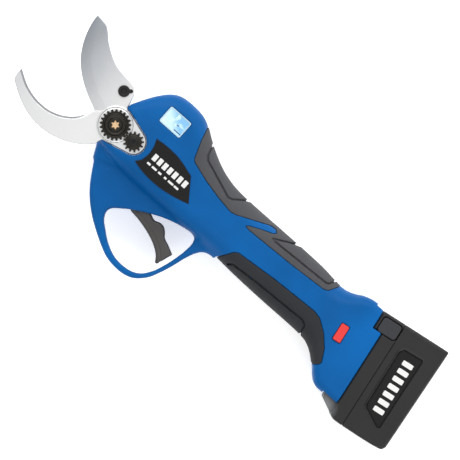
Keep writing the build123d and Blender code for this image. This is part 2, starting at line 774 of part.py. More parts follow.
# --- Controls -----------------------------------------------------------------------------
def control_board():
    """Motor controller: board, power transistors, capacitors and the lead connector."""
    top = board_z + board_thick
    board = block(board_x, board_x + board_long, -board_half, board_half, board_z, top)
    for i in range(6):
        x = board_x + 14 + 7.5 * (i % 3)
        y = -7.5 + 15 * (i // 3)
        board = board + block(x, x + 5.6, y - 3, y + 3, top, top + 2.2)
    for i in range(2):
        board = board + rod_z(board_x + 42, -5.5 + 11 * i, top, top + 12.0, 4.6)
    board = board + block(connector_x, connector_x + 6, -8, 8, top, top + 6)
    return board + block(board_x + 50, board_x + 56, -7, 7, top, top + 6)


def board_posts():
    posts = None
    for x in (board_x + 6, board_x + board_long - 6):
        post = rod_z(x, 0, -head_half, board_z, 3.0)
        posts = post if posts is None else posts + post
    return posts


def trigger_outline():
    front = Spline((49.4, -39.2), (57.5, -40.2), (68.3, -42.9), (77.6, -46.8), (84.2, -51.4), (86.6, -55.4))
    toe = Polyline((86.6, -55.4), (88.6, -55.0), (92.4, -42.9))
    back = Spline((92.4, -42.9), (86.2, -39.9), (80.4, -37.6), (77.4, -34.4), (75.0, -32.4),
                  (70.8, -31.3), (66.1, -32.7), (62.5, -31.7))
    root = Polyline((62.5, -31.7), (55.0, -27.6), (44.0, -25.4), (40.0, -30.0), (42.0, -35.0), (49.4, -39.2))
    return make_face(front + toe + back + root)


def trigger():
    """Finger trigger on its own pin, slimmer inside the head."""
    lever = slab(trigger_outline(), -trigger_half, trigger_half)
    return lever - rod_z(trigger_x, trigger_y, -10, 10, trigger_pin_r + run_gap)


def trigger_pin():
    return rod_z(trigger_x, trigger_y, -web_half + 1.5, web_half - 1.5, trigger_pin_r)


def trigger_spring():
    """Compression spring between the trigger's back and the head."""
    low = -28.0
    high = head_under + 1.6
    coil = Helix(pitch=1.9, height=high - low - 1.0, radius=2.1)
    wire = sweep(Plane(origin=coil @ 0, z_dir=coil % 0) * Circle(0.4), path=coil, is_frenet=True)
    return Pos(57.5, low + 0.5, 0) * Rot(-90, 0, 0) * wire


def trigger_board():
    """Hall sensor board beside the trigger's root."""
    board = block(20.0, 35.0, -39.0, -27.0, -5.4, -4.2)
    return board + block(31.0, 34.0, -36.0, -32.0, -4.2, -2.6)


def display_module():
    wide = display_wide - 1.0
    high = display_high - 1.0
    return Pos(display_x, display_y, head_half - wall - 3.2) * Box(wide, high, 2.6) + Pos(
        display_x, display_y, head_half - wall - 1.2) * Box(display_wide - 3, display_high - 3, 1.4)


def display_lens():
    return display_window(-0.1, head_half - wall, head_half - 0.4)


def power_rocker():
    """Two-position rocker, tipped to its off side."""
    low, high = head_half - 4.2, head_half + 0.6
    frame = RectangleRounded(rocker_wide, rocker_high, 0.8)
    cap = slab(frame, low, high)
    tipped = Pos(0, 0, rocker_pin_z) * Rot(-rocker_tilt, 0, 0) * Pos(0, 0, -rocker_pin_z) * cap
    return battery_place(Pos(rocker_s, rocker_v) * tipped) + rocker_pins(rocker_pin_r, 1.0)


def switch_body():
    top = head_half - 6.2
    return battery_place(block(rocker_s - 5, rocker_s + 5, rocker_v - 8.5, rocker_v + 8.5, top - 8, top))


def contact_places():
    return (-contact_pitch, 0.0, contact_pitch)


def terminal_block():
    """Carrier in the foot with three blade contacts that reach into the battery."""
    face = -neck_long - 2.2
    body = block(face - 8, face, -contact_reach, contact_reach, -8.5, 8.5)
    for v in contact_places():
        body = body + block(face, -5.2, v - 3, v + 3, -0.4, 0.4)
    return battery_place(body)


# --- Battery ------------------------------------------------------------------------------
def battery_profile(inset=0.0):
    """Side outline of the pack at full thickness, in the battery's own frame."""
    i = inset
    return polygon((0.2 + i, -38.6 + i), (4.0 + i, -41.3 + i), (battery_heel - 3.4 - i, battery_under + i),
                   (battery_heel - i, -38.0 + i), (battery_long - i, battery_top - i), (-7.1 + i, battery_top - i),
                   (-7.1 + i, 29.8 + i), (0.2 + i, 29.8 + i))


def neck_profile(inset=0.0):
    """Side outline of the slimmer neck, which runs on under the foot's two cheeks."""
    i = inset
    return polygon((-neck_long + i, -31.0 + i), (-0.5, -38.4 + i), (4.0, -41.3 + i), (20.0, -41.3 + i),
                   (20.0, 32.0 - i), (-neck_long + i, 32.0 - i))


def battery_outer():
    pack = slab(battery_profile(), -head_half, head_half)
    rims = pack.faces().sort_by(Axis.Z)[-1].edges() + pack.faces().sort_by(Axis.Z)[0].edges()
    pack = chamfer(rims, 1.6)
    return pack + slab(neck_profile(), -neck_half, neck_half)


def battery_inner():
    room = cell_pitch / 2 + cell_r + 0.35
    front = slab(neck_profile(battery_wall), -room, room)
    return front + slab(battery_profile(battery_wall), -room, room)


def contact_slots():
    slots = None
    for v in contact_places():
        slot = block(-neck_long - 1, -neck_long + battery_wall + 1, v - 4, v + 4, -1.0, 1.0)
        slots = slot if slots is None else slots + slot
    return slots


def latch_pocket(side):
    """Room for one latch button and its spring, open on the battery's flat face."""
    frame = Pos(latch_s, latch_v) * RectangleRounded(latch_wide + 0.8, latch_high + 0.8, 2.4)
    pocket = slab(frame, latch_floor, head_half + 2)
    return pocket if side > 0 else mirror(pocket, about=Plane.XY)


def battery_shell():
    shell = battery_outer() - battery_inner() - contact_slots()
    walls = None
    for side in (-1, 1):
        low = min(side * (latch_floor - 1.6), side * head_half)
        high = max(side * (latch_floor - 1.6), side * head_half)
        frame = Pos(latch_s, latch_v) * Rectangle(latch_wide + 4.0, latch_high + 4.0)
        tower = slab(frame, low, high)
        walls = tower if walls is None else walls + tower
    shell = shell + (walls & battery_inner())
    for side in (-1, 1):
        shell = shell - latch_pocket(side)
    return shell - slab(label_panel(0.15), head_half - label_thick, head_half + 1)


def battery_collar(shell):
    """Front half of the pack's casing: neck, latches and contact slots."""
    return battery_place(shell & block(-40, collar_end, -60, 60, -40, 40))


def battery_case(shell):
    return battery_place(shell & block(collar_end, 80, -60, 60, -40, 40))


def label_panel(grow=0.0):
    g = grow
    return polygon((19.4 - g, 26.6 + g), (35.4 + g, 27.4 + g), (35.4 + g, -28.6 - g), (19.4 - g, -20.6 - g))


def battery_label():
    return battery_place(slab(label_panel(), head_half - label_thick, head_half))


def cell_rows():
    """Places of the two rows along the pack, counted from its end wall."""
    last = battery_heel - battery_wall - cell_play - cell_r
    return (last - cell_pitch, last)


def battery_cells():
    """Four cells, two rows of two, lying across the pack."""
    cells = []
    for s in cell_rows():
        for side in (-1, 1):
            place = Pos(s, cell_v, side * cell_pitch / 2) * Rot(-90, 0, 0)
            can = Cylinder(cell_r, cell_long - cell_cap, align=BASE)
            cap = Pos(0, 0, cell_long - cell_cap) * Cylinder(2.8, cell_cap, align=BASE)
            cells.append(battery_place(place * (can + cap)))
    return Compound(children=cells)


def battery_board():
    """Protection board standing between the contacts and the cells."""
    back = cell_rows()[0] - cell_r - board_thick
    face = back - board_thick
    board = block(face, back, -28.0, 24.0, -15.0, 15.0)
    for i in range(3):
        board = board + block(face - 1.8, face, -22.0 + 15 * i, -14.0 + 15 * i, -6.0, 6.0)
    return battery_place(board)


def battery_contacts():
    """Folded clips that grip the foot's blade contacts."""
    clips = []
    for v in contact_places():
        upper = block(-neck_long + battery_wall, -5.4, v - 2.6, v + 2.6, 0.5, 0.9)
        lower = block(-neck_long + battery_wall, -5.4, v - 2.6, v + 2.6, -0.9, -0.5)
        clips.append(battery_place(upper))
        clips.append(battery_place(lower))
    return Compound(children=clips)


def latch_button(side):
    """Release button; it is pressed towards the middle of the pack."""
    frame = Pos(latch_s, latch_v) * RectangleRounded(latch_wide, latch_high, 2.0)
    button = slab(frame, latch_inner, latch_outer)
    button = button - slab(Pos(latch_s, latch_v) * Circle(3.2), latch_inner - 1, latch_inner + 1.4)
    return battery_place(button if side > 0 else mirror(button, about=Plane.XY))


def latch_spring(side):
    """Coil spring under a release button."""
    height = latch_inner + 1.4 - latch_floor
    coil = Helix(pitch=1.3, height=height - 0.8, radius=2.4)
    wire = sweep(Plane(origin=coil @ 0, z_dir=coil % 0) * Circle(0.35), path=coil, is_frenet=True)
    spring = Pos(latch_s, latch_v, latch_floor + 0.4) * wire
    return battery_place(spring if side > 0 else mirror(spring, about=Plane.XY))


# --- The whole tool -----------------------------------------------------------------------
def build():
    shell = housing_shell()
    pack = battery_shell()
    parts = {
        "housing_left": housing_left(shell),
        "housing_right": housing_right(shell) + (board_posts() & body_form(0.5)),
        "back_grip_left": grip_pad(REGION_BACK, Keep.TOP),
        "back_grip_right": grip_pad(REGION_BACK, Keep.BOTTOM),
        "front_grip_left": grip_pad(REGION_FRONT, Keep.TOP),
        "front_grip_right": grip_pad(REGION_FRONT, Keep.BOTTOM),
        "side_label": side_label(),
        "housing_screws": housing_screws(),
        "moving_blade": moving_blade(),
        "fixed_blade": fixed_blade(),
        "head_frame": head_frame(),
        "blade_mount_screws": blade_mount_screws(),
        "pivot_bolt": pivot_bolt(),
        "pivot_bush": pivot_bush(),
        "thrust_washer": thrust_washer(),
        "bevel_sector": bevel_sector(),
        "blade_drive_screw": blade_drive_screw(),
        "gear_cover_plate": gear_cover_plate(),
        "pivot_gear_nut": pivot_gear_nut(),
        "lock_gear": lock_gear(),
        "lock_gear_screw": lock_gear_screw(),
        "bevel_pinion": bevel_pinion(),
        "output_bearings": output_bearings(),
        "output_carrier": output_carrier(),
        "input_carrier": input_carrier(),
        "ring_gear": ring_gear(),
        "sun_gear": sun_gear(),
        "motor_front_plate": motor_front_plate(),
        "motor_can": motor_can(),
        "motor_stator": motor_stator(),
        "motor_rotor": motor_rotor(),
        "motor_shaft": motor_shaft(),
        "motor_bearings": motor_bearings(),
        "motor_leads": motor_leads(),
        "control_board": control_board(),
        "trigger": trigger(),
        "trigger_pin": trigger_pin(),
        "trigger_spring": trigger_spring(),
        "trigger_board": trigger_board(),
        "display_module": display_module(),
        "display_lens": display_lens(),
        "power_rocker": power_rocker(),
        "switch_body": switch_body(),
        "terminal_block": terminal_block(),
        "battery_collar": battery_collar(pack),
        "battery_case": battery_case(pack),
        "battery_cells": battery_cells(),
        "battery_board": battery_board(),
        "battery_contacts": battery_contacts(),
        "battery_label": battery_label(),
        "latch_button_left": latch_button(1),
        "latch_button_right": latch_button(-1),
        "latch_spring_left": latch_spring(1),
        "latch_spring_right": latch_spring(-1),
    }
    for i in range(3):
        parts["output_planet_" + str(i + 1)] = planet_gear(output_planet_x, i)
        parts["input_planet_" + str(i + 1)] = planet_gear(input_planet_x, i)
    return parts


def base_centre(parts):
    """Middle of the underside of the bounding box of all the pieces."""
    boxes = [part.bounding_box() for part in parts.values()]
    x = (min(b.min.X for b in boxes) + max(b.max.X for b in boxes)) / 2
    y = (min(b.min.Y for b in boxes) + max(b.max.Y for b in boxes)) / 2
    return x, y, min(b.min.Z for b in boxes)


def export(parts):
    os.makedirs("parts", exist_ok=True)
    x, y, z = base_centre(parts)
    for name, part in parts.items():
        export_step(Pos(-x, -y, -z) * part, "parts/" + name + ".step")
    return x, y, z


PARTS = build()
BASE_CENTRE = export(PARTS)
print("pivot axis at", round(-BASE_CENTRE[0], 3), round(-BASE_CENTRE[1], 3), round(-BASE_CENTRE[2], 3))
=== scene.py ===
import bpy
import bmesh
import json
import math
import numpy as np
import openvdb
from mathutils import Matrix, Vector


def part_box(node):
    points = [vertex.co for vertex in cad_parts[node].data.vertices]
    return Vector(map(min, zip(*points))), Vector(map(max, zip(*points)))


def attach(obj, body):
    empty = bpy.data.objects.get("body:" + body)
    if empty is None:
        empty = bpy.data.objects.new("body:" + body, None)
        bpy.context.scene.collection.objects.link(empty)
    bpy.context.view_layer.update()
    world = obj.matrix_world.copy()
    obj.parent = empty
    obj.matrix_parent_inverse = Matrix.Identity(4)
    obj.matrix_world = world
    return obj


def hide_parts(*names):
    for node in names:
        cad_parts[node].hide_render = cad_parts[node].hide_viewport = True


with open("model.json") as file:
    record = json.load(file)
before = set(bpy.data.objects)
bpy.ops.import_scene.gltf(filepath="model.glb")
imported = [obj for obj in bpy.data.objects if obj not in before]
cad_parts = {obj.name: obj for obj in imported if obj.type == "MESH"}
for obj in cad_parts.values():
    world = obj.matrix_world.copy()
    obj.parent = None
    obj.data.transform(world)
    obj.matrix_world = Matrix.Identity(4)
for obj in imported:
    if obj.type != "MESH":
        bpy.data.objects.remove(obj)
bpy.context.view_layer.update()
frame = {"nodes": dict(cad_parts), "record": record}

# Lengths below are millimetres, measured from the blade pivot and the housing's parting
# plane, with +X along the handle to the battery; place() turns them into the row frame.
MM = 0.001
bush_low, bush_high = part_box("pivot_bush")
PIVOT_X = (bush_low[0] + bush_high[0]) / 2 / MM
PIVOT_Y = (bush_low[1] + bush_high[1]) / 2 / MM
PARTING_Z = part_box("housing_left")[0][2] / MM
ORIGIN = np.array([PIVOT_X, PIVOT_Y, PARTING_Z])

HALF = 24.0                 # half thickness of the head, foot and battery
GRIP_HALF = 20.0            # of the handle
WEB_HALF = 8.0              # of the nose web and the guard
WALL = 2.5
SKIN = 1.6                  # depth of the rubber grips
TILT = math.radians(9.0)    # the battery's axis, turned from the handle's
BATTERY = (246.9, -14.2)    # where that axis crosses the battery's mating face
COLLAR_END = 11.6           # seam between the battery's collar and case, along that axis
NECK_HALF = 20.3            # half thickness of the neck that plugs into the foot
LATCH = (3.2, 35.4)         # along and across the battery's axis
LATCH_FLOOR = 15.6
PANEL_DEPTH = 1.6           # of the battery's label panels
ROCKER = (-24.6, 14.0)      # along and across the battery's axis
DISPLAY = (31.0, 30.0)
MOVING_Z = 8.0              # near face of the moving blade, then of what is stacked on it
BLADE = 4.0
FIXED_Z = 12.1
PLATE_Z = 16.1
GEAR_Z = 18.1
BOLT_R = 5.0
SHAFT_R = 1.5               # of the lock gear's screw
LOCK_GEAR = (17.793, -0.497)
DRIVE_SCREW = (-11.8, 22.3)
TRIGGER_PIN = (44.0, -30.0)
HUB_ROOM = (-4.4, 16.2)     # heights of the room for the blades' hubs
WELL_R = 3.0                # of the housing screws' wells
SCREW_PLACES = ((9.5, 30.0), (52.0, 36.0), (112.0, 15.0), (188.0, 14.0), (112.0, -15.5),
                (188.0, -16.5), (228.0, 22.5), (230.5, -38.0), (17.0, -39.0))

FINE = 0.5           # steps of the sampling grids
TRIGGER_STEP = 0.4
BLADE_STEP = 0.28
PLATE_STEP = 0.25
GEAR_STEP = 0.18


def place(x, y, z):
    return Vector(((x + PIVOT_X) * MM, (y + PIVOT_Y) * MM, (z + PARTING_Z) * MM))


# --- Outlines -----------------------------------------------------------------------------
def curve(points, closed=False, steps=8):
    """Smooth line through the points (centripetal Catmull-Rom)."""
    p = [np.array(q, float) for q in points]
    n = len(p)
    out = []
    for i in range(n if closed else n - 1):
        a = p[(i - 1) % n] if closed or i > 0 else 2 * p[0] - p[1]
        b = p[i]
        c = p[(i + 1) % n]
        d = p[(i + 2) % n] if closed or i + 2 < n else 2 * p[-1] - p[-2]
        t1 = math.sqrt(np.linalg.norm(b - a)) + 1e-9
        t2 = t1 + math.sqrt(np.linalg.norm(c - b)) + 1e-9
        t3 = t2 + math.sqrt(np.linalg.norm(d - c)) + 1e-9
        for k in range(steps):
            t = t1 + (t2 - t1) * k / steps
            a1 = (t1 - t) / t1 * a + t / t1 * b
            a2 = (t2 - t) / (t2 - t1) * b + (t - t1) / (t2 - t1) * c
            a3 = (t3 - t) / (t3 - t2) * c + (t - t2) / (t3 - t2) * d
            b1 = (t2 - t) / t2 * a1 + t / t2 * a2
            b2 = (t3 - t) / (t3 - t1) * a2 + (t - t1) / (t3 - t1) * a3
            out.append(tuple((t2 - t) / (t2 - t1) * b1 + (t - t1) / (t2 - t1) * b2))
    if not closed:
        out.append(tuple(p[-1]))
    return out


def distance_to_line(points, x, y, closed=False):
    """Distance from each grid point to a line through the points."""
    best = np.full(np.broadcast(x, y).shape, 1e9)
    count = len(points)
    for i in range(count if closed else count - 1):
        ax, ay = points[i]
        bx, by = points[(i + 1) % count]
        ex, ey = bx - ax, by - ay
        size = ex * ex + ey * ey
        if size < 1e-12:
            continue
        t = np.clip(((x - ax) * ex + (y - ay) * ey) / size, 0, 1)
        best = np.minimum(best, (x - ax - t * ex) ** 2 + (y - ay - t * ey) ** 2)
    return np.sqrt(best)


def distance_to_shape(points, x, y):
    """Signed distance to a closed outline, negative inside."""
    inside = np.zeros(np.broadcast(x, y).shape, bool)
    count = len(points)
    for i in range(count):
        ax, ay = points[i]
        bx, by = points[(i + 1) % count]
        if ay == by:
            continue
        crosses = (ay > y) != (by > y)
        inside ^= crosses & (x < (bx - ax) * (y - ay) / (by - ay) + ax)
    away = distance_to_line(points, x, y, closed=True)
    return np.where(inside, -away, away)


def smooth_max(a, b, k):
    h = np.clip(0.5 + 0.5 * (a - b) / k, 0, 1)
    return b * (1 - h) + a * h + k * h * (1 - h)


def smooth_min(a, b, k):
    return -smooth_max(-a, -b, k)


def cut(a, b, k=0.8):
    """a without b, with the new edges rounded."""
    return smooth_max(a, -b, k)


def pillow(flat, z, half, radius):
    """Solid of a flat outline's signed distance, half thick each way from z = 0, its edges rounded."""
    across = flat + radius
    over = np.abs(z) - (half - radius)
    outside = np.hypot(np.maximum(across, 0), np.maximum(over, 0))
    return outside + np.minimum(np.maximum(across, over), 0) - radius


def between(z, low, high):
    return np.maximum(low - z, z - high)


def hexagon(dx, dy, half_width):
    """Signed distance of a hexagon whose flats face along the second coordinate."""
    dx, dy = np.abs(dx), np.abs(dy)
    return np.maximum(dx * 0.866 + dy * 0.5, dy) - half_width


def plate_field(flat, z, low, high, radius):
    return pillow(flat, z - (low + high) / 2, (high - low) / 2, radius)


def blend_at(x, stops):
    """Value that eases from stop to stop along x."""
    xs = [s[0] for s in stops]
    out = np.full(np.shape(x), float(stops[0][1]))
    for (xa, va), (xb, vb) in zip(stops, stops[1:]):
        t = np.clip((x - xa) / (xb - xa), 0, 1)
        out = out + (vb - va) * t * t * (3 - 2 * t)
    return out


class Grid:
    """Sample points of a box, for fields of signed distance.

    s and v are the places along and across the battery's axis.
    """

    def __init__(self, low, high, step):
        self.low = low
        self.step = step
        sizes = [int(math.ceil((high[i] - low[i]) / step)) + 1 for i in range(3)]
        axes = [low[i] + step * np.arange(sizes[i]) for i in range(3)]
        self.x = axes[0][:, None, None]
        self.y = axes[1][None, :, None]
        self.z = axes[2][None, None, :]
        self.s = (self.x - BATTERY[0]) * math.cos(TILT) + (self.y - BATTERY[1]) * math.sin(TILT)
        self.v = (self.y - BATTERY[1]) * math.cos(TILT) - (self.x - BATTERY[0]) * math.sin(TILT)

    def flat(self, points):
        return distance_to_shape(points, self.x[:, :, 0], self.y[:, :, 0])[:, :, None]

    def line(self, points):
        return distance_to_line(points, self.x[:, :, 0], self.y[:, :, 0])[:, :, None]

    def flat_tilted(self, points):
        return distance_to_shape(points, self.s[:, :, 0], self.v[:, :, 0])[:, :, None]

    def away(self, x=0.0, y=0.0):
        return np.hypot(self.x - x, self.y - y)

    def piece(self, name, field, body, slot, material, nodes=()):
        """Mesh of the field's zero surface, riding on a body and standing for its CAD nodes."""
        band = 3.0 * self.step
        full = np.clip(np.broadcast_to(field, (self.x.size, self.y.size, self.z.size)), -band, band)
        full = np.ascontiguousarray(full, dtype=np.float32)
        pad = np.pad(full, 1, constant_values=band)
        volume = openvdb.FloatGrid(band)
        volume.copyFromArray(pad)
        points, quads = volume.convertToQuads(0.0)
        points = (np.asarray(points) - 1) * self.step + np.array(self.low)
        points = (points + ORIGIN) * MM
        mesh = bpy.data.meshes.new(name)
        mesh.from_pydata(points.tolist(), [], np.asarray(quads)[:, ::-1].tolist())
        mesh.update()
        return finish_piece(name, mesh, body, material, nodes)


def finish_piece(name, mesh, body, material, nodes):
    """Smooth-shaded object that rides on a body and stands for its CAD nodes."""
    bm = bmesh.new()
    bm.from_mesh(mesh)
    bmesh.ops.recalc_face_normals(bm, faces=bm.faces)
    bm.to_mesh(mesh)
    bm.free()
    mesh.polygons.foreach_set("use_smooth", [True] * len(mesh.polygons))
    piece = bpy.data.objects.new(name, mesh)
    bpy.context.scene.collection.objects.link(piece)
    mesh.materials.append(material)
    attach(piece, body)
    if nodes:
        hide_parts(*nodes)
    return piece


# --- Materials ----------------------------------------------------------------------------
def new_material(name):
    material = bpy.data.materials.new(name)
    material.use_nodes = True
    nodes = material.node_tree.nodes
    nodes.clear()
    output = nodes.new("ShaderNodeOutputMaterial")
    shader = nodes.new("ShaderNodeBsdfPrincipled")
    material.node_tree.links.new(shader.outputs[0], output.inputs[0])
    return material, shader


def coordinates(material, scale=(1, 1, 1), turn=0.0):
    tree = material.node_tree
    where = tree.nodes.new("ShaderNodeTexCoord")
    mapping = tree.nodes.new("ShaderNodeMapping")
    mapping.inputs["Scale"].default_value = scale
    mapping.inputs["Rotation"].default_value = (0, 0, turn)
    tree.links.new(where.outputs["Object"], mapping.inputs["Vector"])
    return mapping.outputs[0]


def object_axes(material):
    """X, Y and Z of the place being shaded."""
    tree = material.node_tree
    where = tree.nodes.new("ShaderNodeTexCoord")
    split = tree.nodes.new("ShaderNodeSeparateXYZ")
    tree.links.new(where.outputs["Object"], split.inputs[0])
    return split.outputs


def noise(material, vector, scale, detail=4.0, roughness=0.55):
    node = material.node_tree.nodes.new("ShaderNodeTexNoise")
    node.inputs["Scale"].default_value = scale
    node.inputs["Detail"].default_value = detail
    node.inputs["Roughness"].default_value = roughness
    material.node_tree.links.new(vector, node.inputs["Vector"])
    return node.outputs["Fac"]


def ramp(material, value, stops):
    node = material.node_tree.nodes.new("ShaderNodeValToRGB")
    elements = node.color_ramp.elements
    while len(elements) < len(stops):
        elements.new(0.5)
    for element, (where, colour) in zip(elements, stops):
        element.position = where
        element.color = (*colour, 1)
    material.node_tree.links.new(value, node.inputs[0])
    return node.outputs[0]


def spread(material, value, low, high, low_in=0.3, high_in=0.7):
    node = material.node_tree.nodes.new("ShaderNodeMapRange")
    node.inputs["From Min"].default_value = low_in
    node.inputs["From Max"].default_value = high_in
    node.inputs["To Min"].default_value = low
    node.inputs["To Max"].default_value = high
    material.node_tree.links.new(value, node.inputs[0])
    return node.outputs[0]


def bump(material, shader, height, strength, distance):
    node = material.node_tree.nodes.new("ShaderNodeBump")
    node.inputs["Strength"].default_value = strength
    node.inputs["Distance"].default_value = distance
    material.node_tree.links.new(height, node.inputs["Height"])
    material.node_tree.links.new(node.outputs[0], shader.inputs["Normal"])


def wear_and_crease_shade(material, low=0.50, high=0.62):
    """Pointiness of the mesh, 1 on worn outer edges; with the limits swapped, 1 in creases, for painted
    shade.
    """
    where = material.node_tree.nodes.new("ShaderNodeNewGeometry")
    return spread(material, where.outputs["Pointiness"], 0.0, 1.0, low, high)


def mix(material, fac, a, b):
    node = material.node_tree.nodes.new("ShaderNodeMix")
    node.data_type = "RGBA"
    material.node_tree.links.new(fac, node.inputs[0])
    for socket, value in ((node.inputs[6], a), (node.inputs[7], b)):
        if isinstance(value, tuple):
            socket.default_value = (*value, 1)
        else:
            material.node_tree.links.new(value, socket)
    return node.outputs[2]


def plastic(name, colour, roughness, grain=900.0, grain_depth=0.02, shade=0.12, worn=None, specular=0.5):
    """Moulded plastic or rubber: slow colour drift, fine spark texture, paler worn edges and painted shade
    darkening the creases.
    """
    material, shader = new_material(name)
    vector = coordinates(material)
    slow = noise(material, vector, 14.0, 3.0)
    low = tuple(c * (1 - shade) for c in colour)
    high = tuple(min(1.0, c * (1 + shade)) for c in colour)
    tint = ramp(material, slow, ((0.30, low), (0.70, high)))
    if worn:
        scuffs = noise(material, vector, 260.0, 5.0, 0.7)
        tree = material.node_tree
        both = tree.nodes.new("ShaderNodeMath")
        both.operation = "MULTIPLY"
        tree.links.new(wear_and_crease_shade(material), both.inputs[0])
        tree.links.new(spread(material, scuffs, 0.0, 0.55, 0.45, 0.75), both.inputs[1])
        tint = mix(material, both.outputs[0], tint, worn)
        # Painted shade: creases and hollows darkened to a quarter of the colour.
        tint = mix(material, wear_and_crease_shade(material, 0.485, 0.42), tint, tuple(c * 0.25 for c in colour))
    material.node_tree.links.new(tint, shader.inputs["Base Color"])
    rough = spread(material, noise(material, vector, 120.0, 6.0, 0.7), roughness - 0.06, roughness + 0.08)
    material.node_tree.links.new(rough, shader.inputs["Roughness"])
    shader.inputs["Specular IOR Level"].default_value = specular
    bump(material, shader, noise(material, vector, grain, 2.0), 0.35, grain_depth * MM)
    return material


def steel(name, colour, roughness, angle=0.0, streak=0.08, dirt=0.0, bumpy=0.01):
    """Ground steel: long fine streaks along one direction, with a little staining."""
    material, shader = new_material(name)
    vector = coordinates(material, (30.0, 900.0, 30.0), angle)
    lines = noise(material, vector, 1.0, 5.0, 0.65)
    cloud = noise(material, coordinates(material), 35.0, 5.0, 0.6)
    dark = tuple(c * (1 - streak) for c in colour)
    light = tuple(min(1.0, c * (1 + streak)) for c in colour)
    tint = ramp(material, lines, ((0.28, dark), (0.72, light)))
    if dirt:
        stain = spread(material, cloud, 0.0, dirt, 0.52, 0.78)
        tint = mix(material, stain, tint, tuple(c * 0.45 for c in colour))
    material.node_tree.links.new(tint, shader.inputs["Base Color"])
    shader.inputs["Metallic"].default_value = 1.0
    rough = spread(material, lines, roughness - 0.05, roughness + 0.09)
    material.node_tree.links.new(rough, shader.inputs["Roughness"])
    bump(material, shader, lines, 0.25, bumpy * MM)
    return material


BLUE = plastic("blue_nylon", (0.0010, 0.100, 0.335), 0.44, 1400.0, 0.012, 0.20,
               (0.03, 0.20, 0.50), 0.11)
BACK_RUBBER = plastic("grey_rubber", (0.074, 0.075, 0.081), 0.68, 1900.0, 0.03, 0.14,
                      (0.16, 0.16, 0.17), 0.15)
FRONT_RUBBER = plastic("dark_rubber", (0.027, 0.0285, 0.032), 0.66, 1900.0, 0.03, 0.14,
                       (0.075, 0.076, 0.08), 0.15)
BATTERY_BLACK = plastic("battery_black", (0.0165, 0.0165, 0.0175), 0.50, 1500.0, 0.03, 0.15,
                        (0.05, 0.05, 0.052), 0.28)
LATCH_GREY = plastic("latch_grey", (0.032, 0.033, 0.037), 0.52, 1500.0, 0.03, 0.10,
                     (0.09, 0.09, 0.10), 0.25)
TRIGGER_BLACK = plastic("trigger_black", (0.050, 0.046, 0.044), 0.40, 1300.0, 0.03, 0.22,
                        (0.24, 0.22, 0.21), 0.5)
RED = plastic("rocker_red", (0.70, 0.042, 0.040), 0.30, 1200.0, 0.006, 0.05, (0.85, 0.20, 0.18), 0.3)
LABEL = plastic("label_film", (0.0085, 0.0080, 0.0080), 0.28, 600.0, 0.002, 0.10, None, 0.2)
DISPLAY_RIM = plastic("display_rim_white", (0.46, 0.66, 0.80), 0.30, 600.0, 0.002, 0.10, None, 0.3)
DISPLAY_INK = plastic("display_ink", (0.03, 0.10, 0.20), 0.30, 600.0, 0.002, 0.10, None, 0.3)
WHITE_INK = plastic("white_ink", (0.75, 0.75, 0.74), 0.35, 900.0, 0.004, 0.03)
BLACK_OXIDE = steel("black_oxide", (0.036, 0.034, 0.030), 0.36, 0.0, 0.15, 0.25, 0.02)
HOOK_STEEL = steel("hook_steel", (0.90, 0.90, 0.89), 0.34, math.radians(15), 0.05, 0.10)
COVER_STEEL = steel("cover_steel", (0.78, 0.79, 0.79), 0.30, math.radians(80), 0.03, 0.10)
BEVEL_STEEL = steel("bevel_steel", (0.33, 0.335, 0.35), 0.34, math.radians(70), 0.10, 0.10)
SCREW_BLACK = steel("screw_black", (0.035, 0.035, 0.035), 0.38, 0.0, 0.15, 0.2, 0.02)
COPPER_TIP = steel("bolt_star", (0.85, 0.58, 0.34), 0.28, 0.0, 0.10, 0.1)


# --- Shapes of the housing ----------------------------------------------------------------
TOP_LINE = curve([(-2.4, 17.2), (4.6, 29.8), (10.0, 37.6), (15.5, 43.4), (21.0, 46.6), (28.0, 47.8),
                  (38.0, 47.6), (45.0, 46.2), (51.0, 43.2), (58.0, 38.4), (66.0, 33.6), (76.0, 28.6),
                  (87.0, 24.9), (98.0, 23.1), (112.0, 22.7), (150.0, 22.8), (180.0, 22.4), (196.0, 20.9),
                  (203.0, 21.3), (210.0, 23.6), (217.0, 27.4), (224.0, 29.2), (240.0, 29.4), (262.0, 29.4)])
UNDER_LINE = curve([(262.0, -45.4), (240.0, -45.2), (232.0, -44.9), (228.4, -43.0), (220.0, -34.6),
                    (213.0, -29.0), (206.0, -25.6), (198.0, -24.4), (160.0, -24.2), (132.0, -23.6),
                    (112.0, -22.4), (90.0, -21.6), (60.0, -21.4), (30.0, -21.2), (10.0, -19.0),
                    (-1.4, -15.6)])
BODY_OUTLINE = TOP_LINE + UNDER_LINE
NOSE_LINE = [(40.0, -12.0), (-1.2, -12.0)]
BOW_LINE = curve([(-1.2, -15.6), (2.0, -24.0), (7.2, -33.6), (15.8, -46.6), (24.0, -55.2), (33.6, -62.6),
                  (50.0, -72.2), (58.0, -75.6), (67.0, -77.1), (76.0, -76.6), (83.0, -73.9), (90.1, -66.8),
                  (94.6, -57.8), (98.2, -48.0), (101.2, -38.2), (104.6, -30.6), (108.8, -25.8),
                  (113.0, -23.9), (117.0, -23.4), (124.0, -21.0)])
GUARD_OUTLINE = NOSE_LINE + BOW_LINE + [(124.0, -12.0)]
OPENING_OUTLINE = curve([(36.6, -51.0), (39.0, -56.2), (44.5, -61.0), (50.5, -65.6), (56.5, -69.0),
                         (63.0, -71.3), (71.0, -71.9), (79.0, -70.5), (84.6, -66.9), (89.6, -59.6),
                         (92.8, -51.5), (95.2, -43.0), (96.8, -34.5), (97.2, -27.8), (96.0, -23.6),
                         (92.4, -22.2), (84.0, -23.4), (72.0, -27.2), (60.0, -32.6), (49.5, -38.6),
                         (41.5, -44.0), (37.6, -47.6)], closed=True, steps=6)
